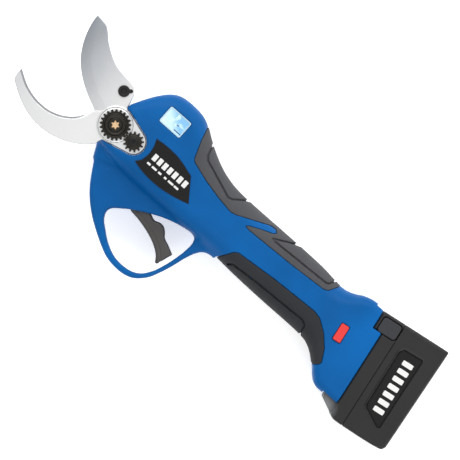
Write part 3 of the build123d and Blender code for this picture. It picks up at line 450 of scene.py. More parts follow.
BACK_GRIP = [(49.5, 60.0), (50.3, 44.0), (53.4, 33.0), (58.6, 19.4), (60.6, 17.6), (75.0, 13.2), (90.0, 9.9),
             (103.0, 8.0), (107.5, 8.9), (119.0, 14.2), (131.0, 19.6), (136.0, 20.4), (138.4, 18.8),
             (137.0, 17.0), (128.0, 13.4), (119.6, 9.4), (118.0, 7.8), (121.0, 7.0), (160.0, 8.6),
             (190.0, 10.8), (193.6, 12.4), (198.2, 20.4), (198.6, 60.0)]
FRONT_GRIP = [(116.2, -60.0), (116.6, -23.6), (124.6, -11.6), (127.6, -9.8), (160.0, -6.8), (196.0, -5.0),
              (202.0, -6.2), (211.0, -12.2), (219.0, -20.4), (224.2, -29.4), (223.6, -31.6), (219.6, -35.2),
              (219.0, -60.0)]
BACK_GROOVES = ([(61.6, 36.6), (64.4, 27.6), (67.0, 24.8), (95.4, 14.6), (98.4, 15.6), (108.8, 23.6)],
                [(157.0, 23.4), (139.0, 14.0), (142.0, 13.3), (188.6, 15.4), (190.6, 16.2), (193.0, 20.6)])
FRONT_GROOVES = ([(127.0, -21.0), (129.6, -18.8), (150.0, -17.2), (193.4, -15.6), (197.4, -17.2),
                  (199.6, -24.8)],)
TRIGGER_SLOT = [(44.6, -33.0), (44.6, -44.0), (52.0, -42.0), (86.0, -26.0), (86.0, -19.6), (50.0, -19.6)]
LABEL_OUTLINE = (curve([(28.8, 12.3), (38.0, 13.1), (50.0, 12.5), (65.0, 8.6)])
                 + curve([(77.2, -7.8), (64.0, -11.2), (52.0, -12.9), (38.0, -12.4), (27.6, -10.2)])
                 + curve([(30.8, -6.0), (31.9, 0.6), (31.0, 7.0)]))


def teardrop_outline(grow):
    """Cover plate: a large round at the pivot run into a small one at the lock gear."""
    big = 13.7 + grow
    small = 9.2 + grow
    run = 17.8
    lean = math.acos((big - small) / run)
    turn = math.radians(-1.6)
    points = []
    for i in range(40):
        a = turn + lean + (2 * math.pi - 2 * lean) * i / 39
        points.append((big * math.cos(a), big * math.sin(a)))
    for i in range(24):
        a = turn - lean + 2 * lean * i / 23
        points.append((run * math.cos(turn) + small * math.cos(a),
                       run * math.sin(turn) + small * math.sin(a)))
    return points


def rounded_box(cx, cy, wide, high, radius, sides=6):
    points = []
    for corner in range(4):
        sx = 1 if corner in (0, 3) else -1
        sy = 1 if corner in (0, 1) else -1
        ox, oy = cx + sx * (wide / 2 - radius), cy + sy * (high / 2 - radius)
        for i in range(sides + 1):
            a = math.pi / 2 * (corner + i / sides)
            points.append((ox + radius * math.cos(a), oy + radius * math.sin(a)))
    return points


def body_field(grid):
    """Thick part of the housing: a slightly crowned pillow of changing thickness."""
    x = grid.x
    half = blend_at(x, ((-2.4, 20.5), (30.0, HALF), (88.0, HALF), (122.0, GRIP_HALF), (192.0, GRIP_HALF),
                        (221.0, HALF), (262.0, HALF)))
    edge = blend_at(x, ((-2.4, 6.0), (26.0, 12.0), (92.0, 13.0), (120.0, 14.5), (190.0, 14.0), (222.0, 7.0)))
    flat = grid.flat(BODY_OUTLINE)
    middle = blend_at(x, ((0.0, 6.0), (40.0, 12.0), (110.0, 0.0), (200.0, -2.0), (230.0, -8.0)))
    crown = blend_at(x, ((0.0, 0.4), (60.0, 0.4), (110.0, 1.6), (190.0, 1.6), (225.0, 0.0)))
    bulge = crown * ((grid.y - middle) / 24.0) ** 2
    return pillow(flat, grid.z, half - bulge, edge)


def web_field(grid):
    web = pillow(grid.flat(GUARD_OUTLINE), grid.z, WEB_HALF, 3.2)
    return smooth_max(web, -grid.flat(OPENING_OUTLINE), 3.0)


def nose_cheek(grid):
    """Swelling of the nose that covers the bevel sector."""
    round_end = np.maximum(grid.away() - 27.0, grid.y + 8.0)
    flat = np.maximum(round_end, grid.flat(GUARD_OUTLINE))
    return pillow(flat, grid.z, 10.4, 3.4)


def foot_cut(grid):
    """In front of the battery's mating face, with the notch for the latch."""
    notch = np.maximum(-(grid.s + 7.4), 29.4 - grid.v)
    return smooth_max(grid.s, -notch, 1.2)


def groove(field, line, half_width, depth):
    """The field with a round-bottomed groove sunk along a line."""
    return field + depth * np.clip(1 - (line / half_width) ** 2, 0, 1)


def cut_head_rooms(grid, solid):
    """Cut the mouth that the blades swing in and the bevel sector's sweep."""
    away = grid.away()
    tall = between(grid.z, *HUB_ROOM)
    hub = np.maximum(away - 15.2, tall)
    mouth = smooth_min(hub, np.maximum(np.maximum(away - 17.6, -grid.y - 6.0), tall), 0.5)
    ceiling = np.where(grid.y < -13.0, 8.6, 12.0)
    wedge = np.maximum(away - 24.0, 5.0 - grid.x)
    sweep = np.maximum(wedge, between(grid.z, HUB_ROOM[0], ceiling))
    return cut(cut(solid, mouth, 0.6), sweep, 0.6)


def cut_left_seats(grid, solid):
    """Cut the seats of the cover plate, display, rocker and label."""
    below_plate = PLATE_Z - 0.2 - grid.z
    solid = cut(solid, np.maximum(grid.flat(teardrop_outline(0.45)), below_plate), 0.9)
    nose = np.maximum(grid.x, np.abs(grid.y) - 13.6)
    solid = cut(solid, np.maximum(nose, below_plate), 0.6)
    solid = cut(solid, grid.flat(rounded_box(*DISPLAY, 19.8, 14.4, 1.6)), 0.8)
    rocker = grid.flat_tilted(rounded_box(*ROCKER, 6.9, 14.0, 1.1))
    solid = cut(solid, np.maximum(rocker, 10 - grid.z), 0.8)
    label = grid.flat(LABEL_OUTLINE) - 0.15
    return cut(solid, np.maximum(label, HALF - 0.45 - grid.z), 0.3)


def cut_right_seats(grid, solid):
    """Cut the room round the pivot bolt's head and the housing screws' wells."""
    nose = np.maximum(grid.x, np.abs(grid.y) - 12.6)
    solid = cut(solid, np.minimum(grid.away() - 12.8, nose), 0.9)
    for x, y in SCREW_PLACES:
        in_web = y < -22 and x < 120
        seat = -3.6 if in_web else -10.0
        solid = cut(solid, np.maximum(grid.away(x, y) - WELL_R, grid.z - seat), 0.5)
    return solid


def housing_field(grid, side):
    """Both housing halves are this field, kept on one side of the parting plane."""
    body = body_field(grid)
    outer = smooth_min(smooth_min(body, web_field(grid), 7.0), nose_cheek(grid), 5.0)
    outer = smooth_max(outer, -grid.flat(OPENING_OUTLINE), 2.4)
    for region in (BACK_GRIP, FRONT_GRIP):
        outer = cut(outer, smooth_max(grid.flat(region), -(body + SKIN), 0.4), 0.5)
    outer = smooth_max(outer, foot_cut(grid), 1.0)
    foot_socket = np.maximum(-(grid.s + 13.0), np.abs(grid.z) - 20.7)
    outer = cut_head_rooms(grid, cut(outer, foot_socket, 0.6))
    slot = grid.flat(TRIGGER_SLOT)
    outer = cut(outer, np.maximum(slot, np.abs(grid.z) - 5.6), 0.8)
    outer = cut(outer, np.maximum(body + WALL, 26.0 - grid.x), 0.6)
    return cut_left_seats(grid, outer) if side > 0 else cut_right_seats(grid, outer)


def grip_field(grid, region, grooves):
    """Rubber pad let into the housing's surface, with its grooves."""
    body = body_field(grid)
    top = body - 0.35
    for line in grooves:
        top = groove(top, grid.line(line), 0.95, 1.5)
    pad = smooth_max(grid.flat(region) + 0.2, top, 1.0)
    pad = smooth_max(pad, -(body + SKIN - 0.1), 0.3)
    return smooth_max(pad, foot_cut(grid), 0.5)


def half_space(grid, side):
    """One side of the parting plane, short of it by half the seam."""
    return 0.08 - side * grid.z


def make_housing():
    for side, name in ((1, "left"), (-1, "right")):
        low_z, high_z = (-1.0, 26.0) if side > 0 else (-26.0, 1.0)
        grid = Grid((-5.0, -79.5, low_z), (257.0, 50.0, high_z), FINE)
        field = smooth_max(housing_field(grid, side), half_space(grid, side), 0.5)
        grid.piece("housing_" + name + "_shell", field, "tool", "blue_housing", BLUE, ("housing_" + name,))
        make_grip("back_grip_" + name, side, BACK_GRIP, BACK_GROOVES, (47.0, 4.0, low_z),
                  (201.0, 47.0, high_z), "grip_rubber", BACK_RUBBER)
        make_grip("front_grip_" + name, side, FRONT_GRIP, FRONT_GROOVES, (115.0, -39.0, low_z),
                  (227.0, -3.0, high_z), "front_grip_rubber", FRONT_RUBBER)


def make_grip(node, side, region, grooves, low, high, slot, material):
    grid = Grid(low, high, FINE)
    pad = smooth_max(grip_field(grid, region, grooves), half_space(grid, side), 0.4)
    if side < 0:
        for x, y in SCREW_PLACES:
            pad = cut(pad, grid.away(x, y) - WELL_R, 0.5)
    grid.piece(node + "_pad", pad, "tool", slot, material, (node,))


# --- Blades and gears ---------------------------------------------------------------------
MOVING_EDGE = curve([(-62.6, 50.8), (-61.9, 44.0), (-60.2, 37.0), (-57.0, 28.8), (-50.8, 18.9),
                     (-41.4, 10.2), (-32.1, 4.3), (-19.6, -1.6)])
MOVING_SPINE = curve([(-13.3, 30.3), (-25.2, 31.7), (-31.5, 33.8), (-37.5, 37.2), (-43.5, 41.4),
                      (-49.0, 46.6), (-52.0, 48.9), (-55.5, 50.0), (-62.6, 50.8)])
MOVING_HEEL = [(-12.0, -7.8), (2.0, 0.0), (-3.4, 21.3), (-4.6, 25.2), (-7.6, 29.2)]
HOOK_EDGE = curve([(-77.7, -14.3), (-66.0, -20.9), (-54.6, -23.9), (-43.4, -23.7), (-33.9, -20.5),
                   (-26.0, -14.8), (-20.0, -6.2), (-17.2, -1.0)])
HOOK_BACK = curve([(-2.0, -19.4), (-8.0, -25.6), (-14.0, -29.6), (-21.0, -33.2), (-33.0, -36.4),
                   (-46.0, -36.8), (-60.0, -33.0), (-72.1, -26.6), (-76.8, -22.8), (-77.9, -18.0)])
HOOK_ROOT = [(-12.0, 2.0), (0.0, 0.0), (-1.0, -14.0)]
HUB_R = 14.4                # of both blades


def make_moving_blade():
    top = MOVING_Z + BLADE
    grid = Grid((-65.0, -18.0, MOVING_Z - 1), (18.0, 53.0, top + 1), BLADE_STEP)
    outline = grid.flat(MOVING_EDGE + MOVING_HEEL + MOVING_SPINE[:-1])
    blade = smooth_min(outline, grid.away() - HUB_R, 1.0)
    solid = plate_field(blade, grid.z, MOVING_Z, top, 0.35)
    from_edge = grid.line(MOVING_EDGE)
    bevel = (grid.z - top) + np.maximum(0, 8.5 - from_edge) * 0.24 - 0.02
    under = (MOVING_Z - grid.z) + np.maximum(0, 2.2 - from_edge) * 0.5
    solid = np.maximum(smooth_max(solid, bevel, 0.35), under)
    solid = cut(solid, grid.away() - 7.54, 0.2)
    solid = cut(solid, grid.away(*DRIVE_SCREW) - 2.5, 0.2)
    grid.piece("moving_blade_ground", solid, "blade", "blade_steel", moving_material(), ("moving_blade",))


def make_fixed_blade():
    grid = Grid((-80.0, -39.0, FIXED_Z - 1), (38.0, 17.0, PLATE_Z + 1), BLADE_STEP)
    hook = smooth_min(grid.flat(HOOK_EDGE + HOOK_ROOT + HOOK_BACK), grid.away() - HUB_R, 2.5)
    tail = grid.flat(rounded_box(18.0, 0.0, 36.0, 26.0, 1.0))
    solid = plate_field(smooth_min(hook, tail, 0.5), grid.z, FIXED_Z, PLATE_Z, 0.4)
    run_out = np.clip((grid.away() - 19.0) / 12.0, 0, 1)
    bevel = (grid.z - PLATE_Z) + np.maximum(0, 1.7 - grid.line(HOOK_EDGE)) * 0.9 * run_out
    solid = smooth_max(solid, bevel, 0.2)
    solid = cut(solid, grid.away() - BOLT_R, 0.2)
    solid = cut(solid, grid.away(*LOCK_GEAR) - SHAFT_R, 0.1)
    for side in (-1, 1):
        solid = cut(solid, grid.away(30.0, side * 10.5) - 2.0, 0.1)
    piece = grid.piece("fixed_blade_ground", solid, "tool", "hook_steel", hook_material(), ("fixed_blade",))
    # Painted shade: the fixed blade's sloped faces and rounded edges take the darker bevel steel.
    paint_slope_shade(piece, BEVEL_STEEL, 0.25, 0.93)


def paint_slope_shade(piece, material, low, high):
    """Give faces whose normals lean between the two limits the second material, a darker steel with its own
    grinding lines: painted shade on the bevel and the rounded edges.
    """
    piece.data.materials.append(material)
    for polygon in piece.data.polygons:
        if low < polygon.normal.z < high:
            polygon.material_index = 1


def painted_reflection_steel(name, x_low, x_high, stops, streak, dull_colour, roughness):
    """Satin steel with a painted reflection, its tone running from dark to light along X, with fine grinding
    lines and dull clouds.
    """
    material, shader = new_material(name)
    tree = material.node_tree
    start, end = (PIVOT_X + x_low) * MM, (PIVOT_X + x_high) * MM
    # Painted reflection: the ramp of tones along X stands in for the light the steel reflects.
    shade = ramp(material, spread(material, object_axes(material)[0], 0.0, 1.0, start, end), stops)
    lines = noise(material, coordinates(material, (60.0, 1600.0, 60.0), math.radians(48)), 1.0, 5.0, 0.65)
    dull = noise(material, coordinates(material), 26.0, 4.0)
    tint = mix(material, spread(material, lines, 0.0, streak), shade, dull_colour)
    tint = mix(material, spread(material, dull, 0.0, streak * 2.0, 0.48, 0.72), tint, dull_colour)
    tree.links.new(tint, shader.inputs["Base Color"])
    shader.inputs["Metallic"].default_value = 1.0
    tree.links.new(spread(material, lines, roughness, roughness + 0.12), shader.inputs["Roughness"])
    bump(material, shader, lines, 0.2, 0.008 * MM)
    return material


def moving_material():
    # Painted reflection: dark blue-grey towards the blade's tip, pale towards the pivot.
    stops = ((0.0, (0.235, 0.255, 0.285)), (0.30, (0.44, 0.46, 0.49)), (0.65, (0.66, 0.67, 0.685)),
             (1.0, (0.83, 0.83, 0.83)))
    return painted_reflection_steel("cutting_steel_painted_reflection", -64.0, -6.0, stops, 0.10, (0.36, 0.38, 0.41), 0.28)


def hook_material():
    # Painted reflection: darker grey towards the hook's tip, paler towards the pivot.
    stops = ((0.0, (0.66, 0.67, 0.68)), (0.4, (0.76, 0.765, 0.765)), (1.0, (0.82, 0.825, 0.82)))
    return painted_reflection_steel("hook_satin_painted_reflection", -78.0, -12.0, stops, 0.05, (0.55, 0.55, 0.55), 0.32)


def make_cover_plate():
    grid = Grid((-16.0, -16.0, PLATE_Z - 0.6), (29.0, 16.0, GEAR_Z + 0.6), PLATE_STEP)
    flat = grid.flat(teardrop_outline(-0.1))
    solid = plate_field(flat, grid.z, PLATE_Z + 0.02, GEAR_Z, 0.5)
    solid = groove(solid, np.abs(grid.away() - 12.3), 0.5, 0.25)
    solid = cut(solid, grid.away() - BOLT_R, 0.1)
    solid = cut(solid, grid.away(*LOCK_GEAR) - SHAFT_R, 0.1)
    grid.piece("cover_plate_ground", solid, "tool", "cover_steel", COVER_STEEL, ("gear_cover_plate",))


def gear_flat(grid, cx, cy, teeth, pitch_r, tip, root, phase):
    """Signed distance, near enough, of a spur gear with rounded teeth."""
    dx, dy = grid.x - cx, grid.y - cy
    radius = np.hypot(dx, dy)
    turn = (np.arctan2(dy, dx) - math.radians(phase)) * teeth / (2 * math.pi)
    off = np.abs(turn - np.round(turn))
    pitch = 2 * math.pi * pitch_r / teeth
    flank = (off - 0.205) * pitch * radius / pitch_r + (radius - pitch_r) * 0.36
    tooth = smooth_max(flank * 0.94, radius - pitch_r - tip, 0.35)
    return smooth_min(tooth, radius - pitch_r + root, 0.5)


def make_nut():
    low, high = GEAR_Z + 0.1, GEAR_Z + 5.0
    grid = Grid((-12.6, -12.6, GEAR_Z - 0.4), (12.6, 12.6, high + 0.5), GEAR_STEP)
    flat = gear_flat(grid, 0, 0, 21, 10.994, 0.5, 1.35, -1.6 + 180 / 21)
    gear = plate_field(flat, grid.z, low, high - 1.2, 0.25)
    radius = grid.away()
    dish = groove(gear, np.abs(radius - 8.5), 0.7, 0.35)
    boss = plate_field(radius - 7.7, grid.z, low, high, 0.7)
    boss = groove(boss, np.abs(radius - 6.1), 0.45, 0.22)
    solid = smooth_min(dish, boss, 0.4)
    solid = cut(solid, radius - BOLT_R - 0.05, 0.4)
    grid.piece("adjusting_nut_gear", solid, "adjusting_nut", "black_steel", BLACK_OXIDE, ("pivot_gear_nut",))


def make_lock_gear():
    low, high = GEAR_Z + 0.1, GEAR_Z + 3.6
    cx, cy = LOCK_GEAR
    grid = Grid((cx - 8.6, cy - 8.6, GEAR_Z - 0.4), (cx + 8.6, cy + 8.6, high + 0.5), GEAR_STEP)
    flat = gear_flat(grid, cx, cy, 13, 6.806, 0.8, 1.05, 178.4)
    gear = plate_field(flat, grid.z, low, high - 0.4, 0.25)
    radius = grid.away(cx, cy)
    hub = plate_field(radius - 4.6, grid.z, low, high, 0.5)
    solid = smooth_min(gear, hub, 0.4)
    solid = groove(solid, np.abs(radius - 3.9), 0.4, 0.2)
    solid = cut(solid, radius - SHAFT_R - 0.05, 0.2)
    grid.piece("lock_gear_cut", solid, "locking_gear", "black_steel", BLACK_OXIDE, ("lock_gear",))


def cut_socket(grid, solid, at, half_width, floor):
    """Cut a screw's hexagon socket down to its floor."""
    flat = hexagon(grid.x - at[0], grid.y - at[1], half_width)
    return cut(solid, np.maximum(flat, floor - grid.z), 0.25)


def make_lock_gear_screw():
    x, y = LOCK_GEAR
    low, high = GEAR_Z + 3.7, GEAR_Z + 5.3
    stem_low = 12.5
    reach = 4.0
    grid = Grid((x - reach, y - reach, stem_low - 0.5), (x + reach, y + reach, high + 0.5), 0.2)
    away = grid.away(x, y)
    solid = plate_field(away - 3.0, grid.z, low, high, 0.5)
    solid = smooth_min(solid, plate_field(away - 1.48, grid.z, stem_low, low + 0.5, 0.3), 0.1)
    solid = cut_socket(grid, solid, LOCK_GEAR, 1.3, high - 1.6)
    grid.piece("lock_gear_screw_turned", solid, "tool", "black_steel", SCREW_BLACK, ("lock_gear_screw",))


def make_drive_screw():
    """Cap screw with a small locking tab beside its head."""
    low, high = MOVING_Z + BLADE, MOVING_Z + BLADE + 2.6
    grid = Grid((-18.0, 15.5, 3.6), (-5.0, 29.0, high + 0.6), 0.2)
    away = grid.away(*DRIVE_SCREW)
    solid = plate_field(away - 4.3, grid.z, low, high, 0.6)
    tab = plate_field(grid.away(-7.9, 25.6) - 1.5, grid.z, low, low + 1.0, 0.3)
    solid = smooth_min(solid, tab, 0.8)
    solid = smooth_min(solid, plate_field(away - 2.48, grid.z, 4.4, low + 0.5, 0.3), 0.1)
    solid = cut_socket(grid, solid, DRIVE_SCREW, 2.0, high - 1.8)
    grid.piece("blade_drive_screw_turned", solid, "blade", "screw_steel", SCREW_BLACK, ("blade_drive_screw",))


def make_pivot_bolt():
    high = GEAR_Z + 5.6
    grid = Grid((-9.4, -9.4, -23.0), (9.4, 9.4, high + 0.6), 0.22)
    solid = plate_field(grid.away() - BOLT_R + 0.02, grid.z, -18.0, high, 0.5)
    head = plate_field(hexagon(grid.y, grid.x, 6.93), grid.z, -22.1, -17.5, 0.5)
    solid = smooth_min(solid, head, 0.3)
    solid = cut(solid, np.maximum(star_field(grid), high - 2.6 - grid.z), 0.25)
    grid.piece("pivot_bolt_turned", solid, "tool", "black_steel", BLACK_OXIDE, ("pivot_bolt",))
    floor = Grid((-3.8, -3.8, high - 3.4), (3.8, 3.8, high - 1.4), 0.12)
    plug = plate_field(star_field(floor) + 0.02, floor.z, high - 2.9, high - 1.9, 0.1)
    floor.piece("pivot_bolt_star", plug, "tool", "bronze", COPPER_TIP)


def star_field(grid):
    """Six-lobed socket of the pivot bolt."""
    away = grid.away()
    turn = np.arctan2(grid.y, grid.x) - math.radians(12)
    return away - (2.75 + 0.6 * np.cos(6 * turn))


# --- Battery ------------------------------------------------------------------------------
PACK_OUTLINE = ([(0.2, -38.8)]
                + curve([(1.6, -40.2), (4.6, -41.2), (20.0, -41.8), (40.0, -41.6), (44.8, -40.8),
                         (46.8, -38.0)])
                + [(47.4, -10.0), (48.6, 43.2), (48.0, 44.0), (-6.4, 44.0), (-7.1, 43.2), (-7.1, 29.8),
                   (0.2, 29.8)])
NECK_OUTLINE = [(-11.0, -31.0), (-10.2, -32.4), (-0.5, -38.4), (4.0, -41.0), (20.0, -41.2), (20.0, 32.0),
                (-11.0, 32.0)]
PANEL_OUTLINE = [(18.0, 25.2), (20.6, 28.4), (35.6, 28.8), (36.2, 27.6), (35.6, -28.6), (33.6, -29.4),
                 (19.6, -21.4), (18.4, -19.0)]


def battery_field(grid):
    flat = grid.flat_tilted(PACK_OUTLINE)
    sink = blend_at(grid.s, ((0.0, 0.0), (10.0, 0.0), (16.0, 1.1), (20.0, 0.5), (44.0, 0.5), (48.5, 1.8)))
    pack = pillow(flat, grid.z, HALF - sink, 2.4)
    neck = pillow(grid.flat_tilted(NECK_OUTLINE), grid.z, NECK_HALF, 1.0)
    solid = smooth_min(pack, neck, 0.8)
    solid = groove(solid, np.abs(grid.s - COLLAR_END), 0.55, 0.35)
    panel = grid.flat_tilted(PANEL_OUTLINE)
    for side in (-1, 1):
        height = side * grid.z
        rim = np.maximum(np.abs(panel - 0.5) - 0.5, 21.0 - height)
        solid = smooth_min(solid, np.maximum(pillow(rim, grid.z, HALF, 0.4), 21.5 - height), 0.4)
        solid = cut(solid, np.maximum(panel, HALF - PANEL_DEPTH - height), 0.5)
        window = grid.flat_tilted(rounded_box(*LATCH, 16.2, 12.8, 2.6))
        solid = cut(solid, np.maximum(window, LATCH_FLOOR - height), 0.4)
    return solid


def make_battery():
    grid = Grid((231.0, -63.0, -25.5), (307.0, 42.0, 25.5), FINE)
    solid = battery_field(grid)
    hollow = pillow(grid.flat_tilted(PACK_OUTLINE), grid.z, HALF, 3.0) + 4.0
    tower = np.maximum(grid.flat_tilted(rounded_box(*LATCH, 20.0, 17.0, 3.0)), 12.0 - np.abs(grid.z))
    solid = cut(solid, np.maximum(hollow, -tower), 0.5)
    front = smooth_max(solid, grid.s - COLLAR_END - 0.1, 0.3)
    back = smooth_max(solid, COLLAR_END + 0.1 - grid.s, 0.3)
    grid.piece("battery_collar_shell", front, "battery", "battery_plastic", collar_material(),
               ("battery_collar",))
    grid.piece("battery_case_shell", back, "battery", "battery_plastic", BATTERY_BLACK, ("battery_case",))


def collar_material():
    """The pack's black, with a painted highlight: pale grey on the shoulder that slides in the foot."""
    painted_highlight_black = BATTERY_BLACK.copy()
    painted_highlight_black.name = "battery_black_painted_highlight"
    tree = painted_highlight_black.node_tree
    shader = next(n for n in tree.nodes if n.type == "BSDF_PRINCIPLED")
    under = shader.inputs["Base Color"].links[0].from_socket
    # Painted highlight: the colour turns pale grey, fading out between 5 and 13 mm from a point on the lower
    # shoulder.
    where = tree.nodes.new("ShaderNodeTexCoord")
    reach = tree.nodes.new("ShaderNodeVectorMath")
    reach.operation = "DISTANCE"
    reach.inputs[1].default_value = place(*battery_point(-8.0, -38.0), 20.0)
    tree.links.new(where.outputs["Object"], reach.inputs[0])
    near = spread(painted_highlight_black, reach.outputs["Value"], 1.0, 0.0, 5.0 * MM, 13.0 * MM)
    tint = mix(painted_highlight_black, near, under, (0.17, 0.175, 0.18))
    tree.links.new(tint, shader.inputs["Base Color"])
    return painted_highlight_black


def battery_point(s, v):
    """Place of a point given along and across the battery's axis."""
    x = BATTERY[0] + s * math.cos(TILT) - v * math.sin(TILT)
    y = BATTERY[1] + s * math.sin(TILT) + v * math.cos(TILT)
    return x, y


def make_battery_label():
    grid = Grid((255.0, -45.0, HALF - 2.4), (295.0, 25.0, HALF + 0.4), 0.3)
    flat = grid.flat_tilted(PANEL_OUTLINE) + 0.5
    solid = plate_field(flat, grid.z, HALF - PANEL_DEPTH, HALF - 1.1, 0.15)
    grid.piece("battery_panel_label", solid, "battery", "label_black", LABEL, ("battery_label",))
    for i in range(7):
        s, v = 28.2, 20.2 - 6.4 * i
        x, y = battery_point(s, v)
        mark = Grid((x - 6.5, y - 4.5, HALF - 1.6), (x + 6.5, y + 4.5, HALF - 0.5), 0.2)
        shape = mark.flat_tilted(rounded_box(s, v, 8.6, 4.0, 0.9))
        bar = plate_field(shape, mark.z, HALF - 1.2, HALF - 0.98, 0.08)
        mark.piece("battery_gauge_mark_" + str(i + 1), bar, "battery", "label_black", WHITE_INK)


def make_latches():
    for side, name in ((1, "left"), (-1, "right")):
        low, high = sorted((side * 18.6, side * 23.8))
        grid = Grid((233.0, 12.0, low - 0.6), (256.0, 32.0, high + 0.6), 0.35)
        flat = grid.flat_tilted(rounded_box(*LATCH, 15.2, 11.8, 2.4))
        solid = plate_field(flat, grid.z, low, high, 0.9)
        past_ribs = grid.flat_tilted(rounded_box(*LATCH, 10.6, 7.6, 1.2)) > 0
        for k in range(4):
            line = np.abs(grid.s - (-0.2 + 2.3 * k))
            solid = np.where(past_ribs, solid, groove(solid, line, 0.55, 0.22))
        grid.piece("latch_button_" + name + "_cap", solid, name + "_latch", "latch_plastic", LATCH_GREY,
                   ("latch_button_" + name,))


# --- Trigger, rocker, display, labels -----------------------------------------------------
def make_trigger():
    front = curve([(49.4, -39.2), (57.5, -40.2), (68.3, -42.9), (77.6, -46.8), (83.6, -51.2), (86.6, -55.4)])
    back = curve([(92.4, -42.9), (86.2, -39.9), (80.4, -37.4), (77.6, -34.2), (74.6, -31.9), (70.8, -31.3),
                  (66.2, -32.7), (62.5, -31.5)])
    root = [(55.0, -27.6), (44.0, -25.4), (40.0, -30.0), (42.0, -35.0)]
    outline = front + [(88.4, -55.2)] + back + root
    grid = Grid((38.0, -57.5, -8.5), (95.0, -23.0, 8.5), TRIGGER_STEP)
    half = blend_at(grid.x, ((52.0, 4.9), (80.0, 4.9), (90.0, 6.2)))
    solid = pillow(grid.flat(outline), grid.z, half, 2.0)
    solid = groove(solid, grid.line(front) - 3.6, 0.7, 0.35)
    solid = cut(solid, grid.away(*TRIGGER_PIN) - 1.54, 0.2)
    grid.piece("trigger_lever", solid, "finger_trigger", "black_plastic", TRIGGER_BLACK, ("trigger",))


def make_rocker():
    """Red rocker, tipped to one end, with a finger hollow in its face."""
    grid = Grid((214.0, -14.0, 19.0), (228.0, 6.0, 26.0), PLATE_STEP)
    flat = grid.flat_tilted(rounded_box(*ROCKER, 6.3, 13.4, 0.9))
    from_middle = grid.v - ROCKER[1]
    tilted = grid.z + from_middle * math.tan(math.radians(6.0))
    hollow = 0.45 * (from_middle / 6.7) ** 2
    solid = plate_field(flat, tilted, 19.9, 24.4, 0.6)
    solid = smooth_max(solid, tilted - 24.0 - hollow, 0.3)
    grid.piece("power_rocker_cap", solid, "rocker", "red_rocker", RED, ("power_rocker",))


def display_material():
    """Display window with a painted reflection, pale towards one corner and darker blue towards the other,
    clouded with pale patches, and a faint painted glow.
    """
    material, shader = new_material("display_painted_reflection_glow")
    tree = material.node_tree
    axes = object_axes(material)
    diagonal = tree.nodes.new("ShaderNodeMath")
    diagonal.operation = "ADD"
    tree.links.new(axes[0], diagonal.inputs[0])
    tree.links.new(axes[1], diagonal.inputs[1])
    # Painted reflection: pale across one corner, darker blue across the rest.
    start = (PIVOT_X + 21.0 + PIVOT_Y + 22.5) * MM
    across = spread(material, diagonal.outputs[0], 0.0, 1.0, start, start + 34.0 * MM)
    stops = ((0.0, (0.62, 0.80, 0.90)), (0.40, (0.50, 0.72, 0.86)), (0.62, (0.20, 0.46, 0.74)),
             (1.0, (0.18, 0.44, 0.72)))
    tint = ramp(material, across, stops)
    cloud = noise(material, coordinates(material), 240.0, 2.0)
    tint = mix(material, spread(material, cloud, 0.0, 0.75, 0.50, 0.66), tint, (0.62, 0.82, 0.93))
    tree.links.new(tint, shader.inputs["Base Color"])
    # Painted glow: the window's colour is also sent out as a faint emission.
    tree.links.new(tint, shader.inputs["Emission Color"])
    shader.inputs["Emission Strength"].default_value = 0.1
    shader.inputs["Roughness"].default_value = 0.12
    shader.inputs["Coat Weight"].default_value = 0.6
    shader.inputs["Coat Roughness"].default_value = 0.06
    return material


def make_display():
    grid = Grid((19.0, 21.0, 20.4), (43.0, 39.0, 25.0), PLATE_STEP)
    window = grid.flat(rounded_box(*DISPLAY, 19.4, 14.0, 1.4))
    solid = plate_field(window, grid.z, 21.0, HALF - 0.55, 0.3)
    grid.piece("display_lens_painted_glow", solid, "tool", "display_glass", display_material(), ("display_lens",))
    inner = grid.flat(rounded_box(*DISPLAY, 17.4, 12.0, 0.8))
    rim = plate_field(np.maximum(window, -inner), grid.z, HALF - 1.0, HALF - 0.3, 0.15)
    grid.piece("display_rim", rim, "tool", "display_glass", DISPLAY_RIM)
    for i, (x, y, wide) in enumerate(((36.6, 25.4, 6.6), (34.0, 29.4, 2.2))):
        bar = Grid((x - wide / 2 - 1, y - 1.4, HALF - 1.0), (x + wide / 2 + 1, y + 1.4, HALF), 0.2)
        shape = bar.flat(rounded_box(x, y, wide, 0.9, 0.4))
        field = plate_field(shape, bar.z, HALF - 0.7, HALF - 0.48, 0.08)
        bar.piece("display_mark_" + str(i + 1), field, "tool", "display_glass", DISPLAY_INK)


def make_side_label():
    grid = Grid((25.0, -16.0, HALF - 1.2), (80.0, 16.0, HALF + 0.6), 0.3)
    flat = grid.flat(LABEL_OUTLINE)
    solid = plate_field(flat, grid.z, HALF - 0.5, HALF + 0.02, 0.12)
    grid.piece("side_label_film", solid, "tool", "label_black", LABEL, ("side_label",))
    for i in range(7):
        x = 37.2 + 4.75 * i
        label_mark("side_gauge_mark_" + str(i + 1), x, 1.3 - 0.02 * i, 3.5, 5.4)
    for i, wide in enumerate((3.2, 4.6, 3.0, 2.4, 5.0, 4.2)):
        label_mark("side_rule_mark_" + str(i + 1), 36.6 + 5.2 * i, -4.9, wide, 1.7)


def label_mark(name, x, y, wide, high):
    """Plain rounded bar printed on the side label."""
    low = HALF - 0.1
    reach_x, reach_y = wide / 2 + 0.8, high / 2 + 0.8
    grid = Grid((x - reach_x, y - reach_y, low - 0.3), (x + reach_x, y + reach_y, HALF + 0.4), 0.16)
    shape = grid.flat(rounded_box(x, y, wide, high, 0.5))
    field = plate_field(shape, grid.z, low, HALF + 0.1, 0.06)
    grid.piece(name, field, "tool", "label_black", WHITE_INK)


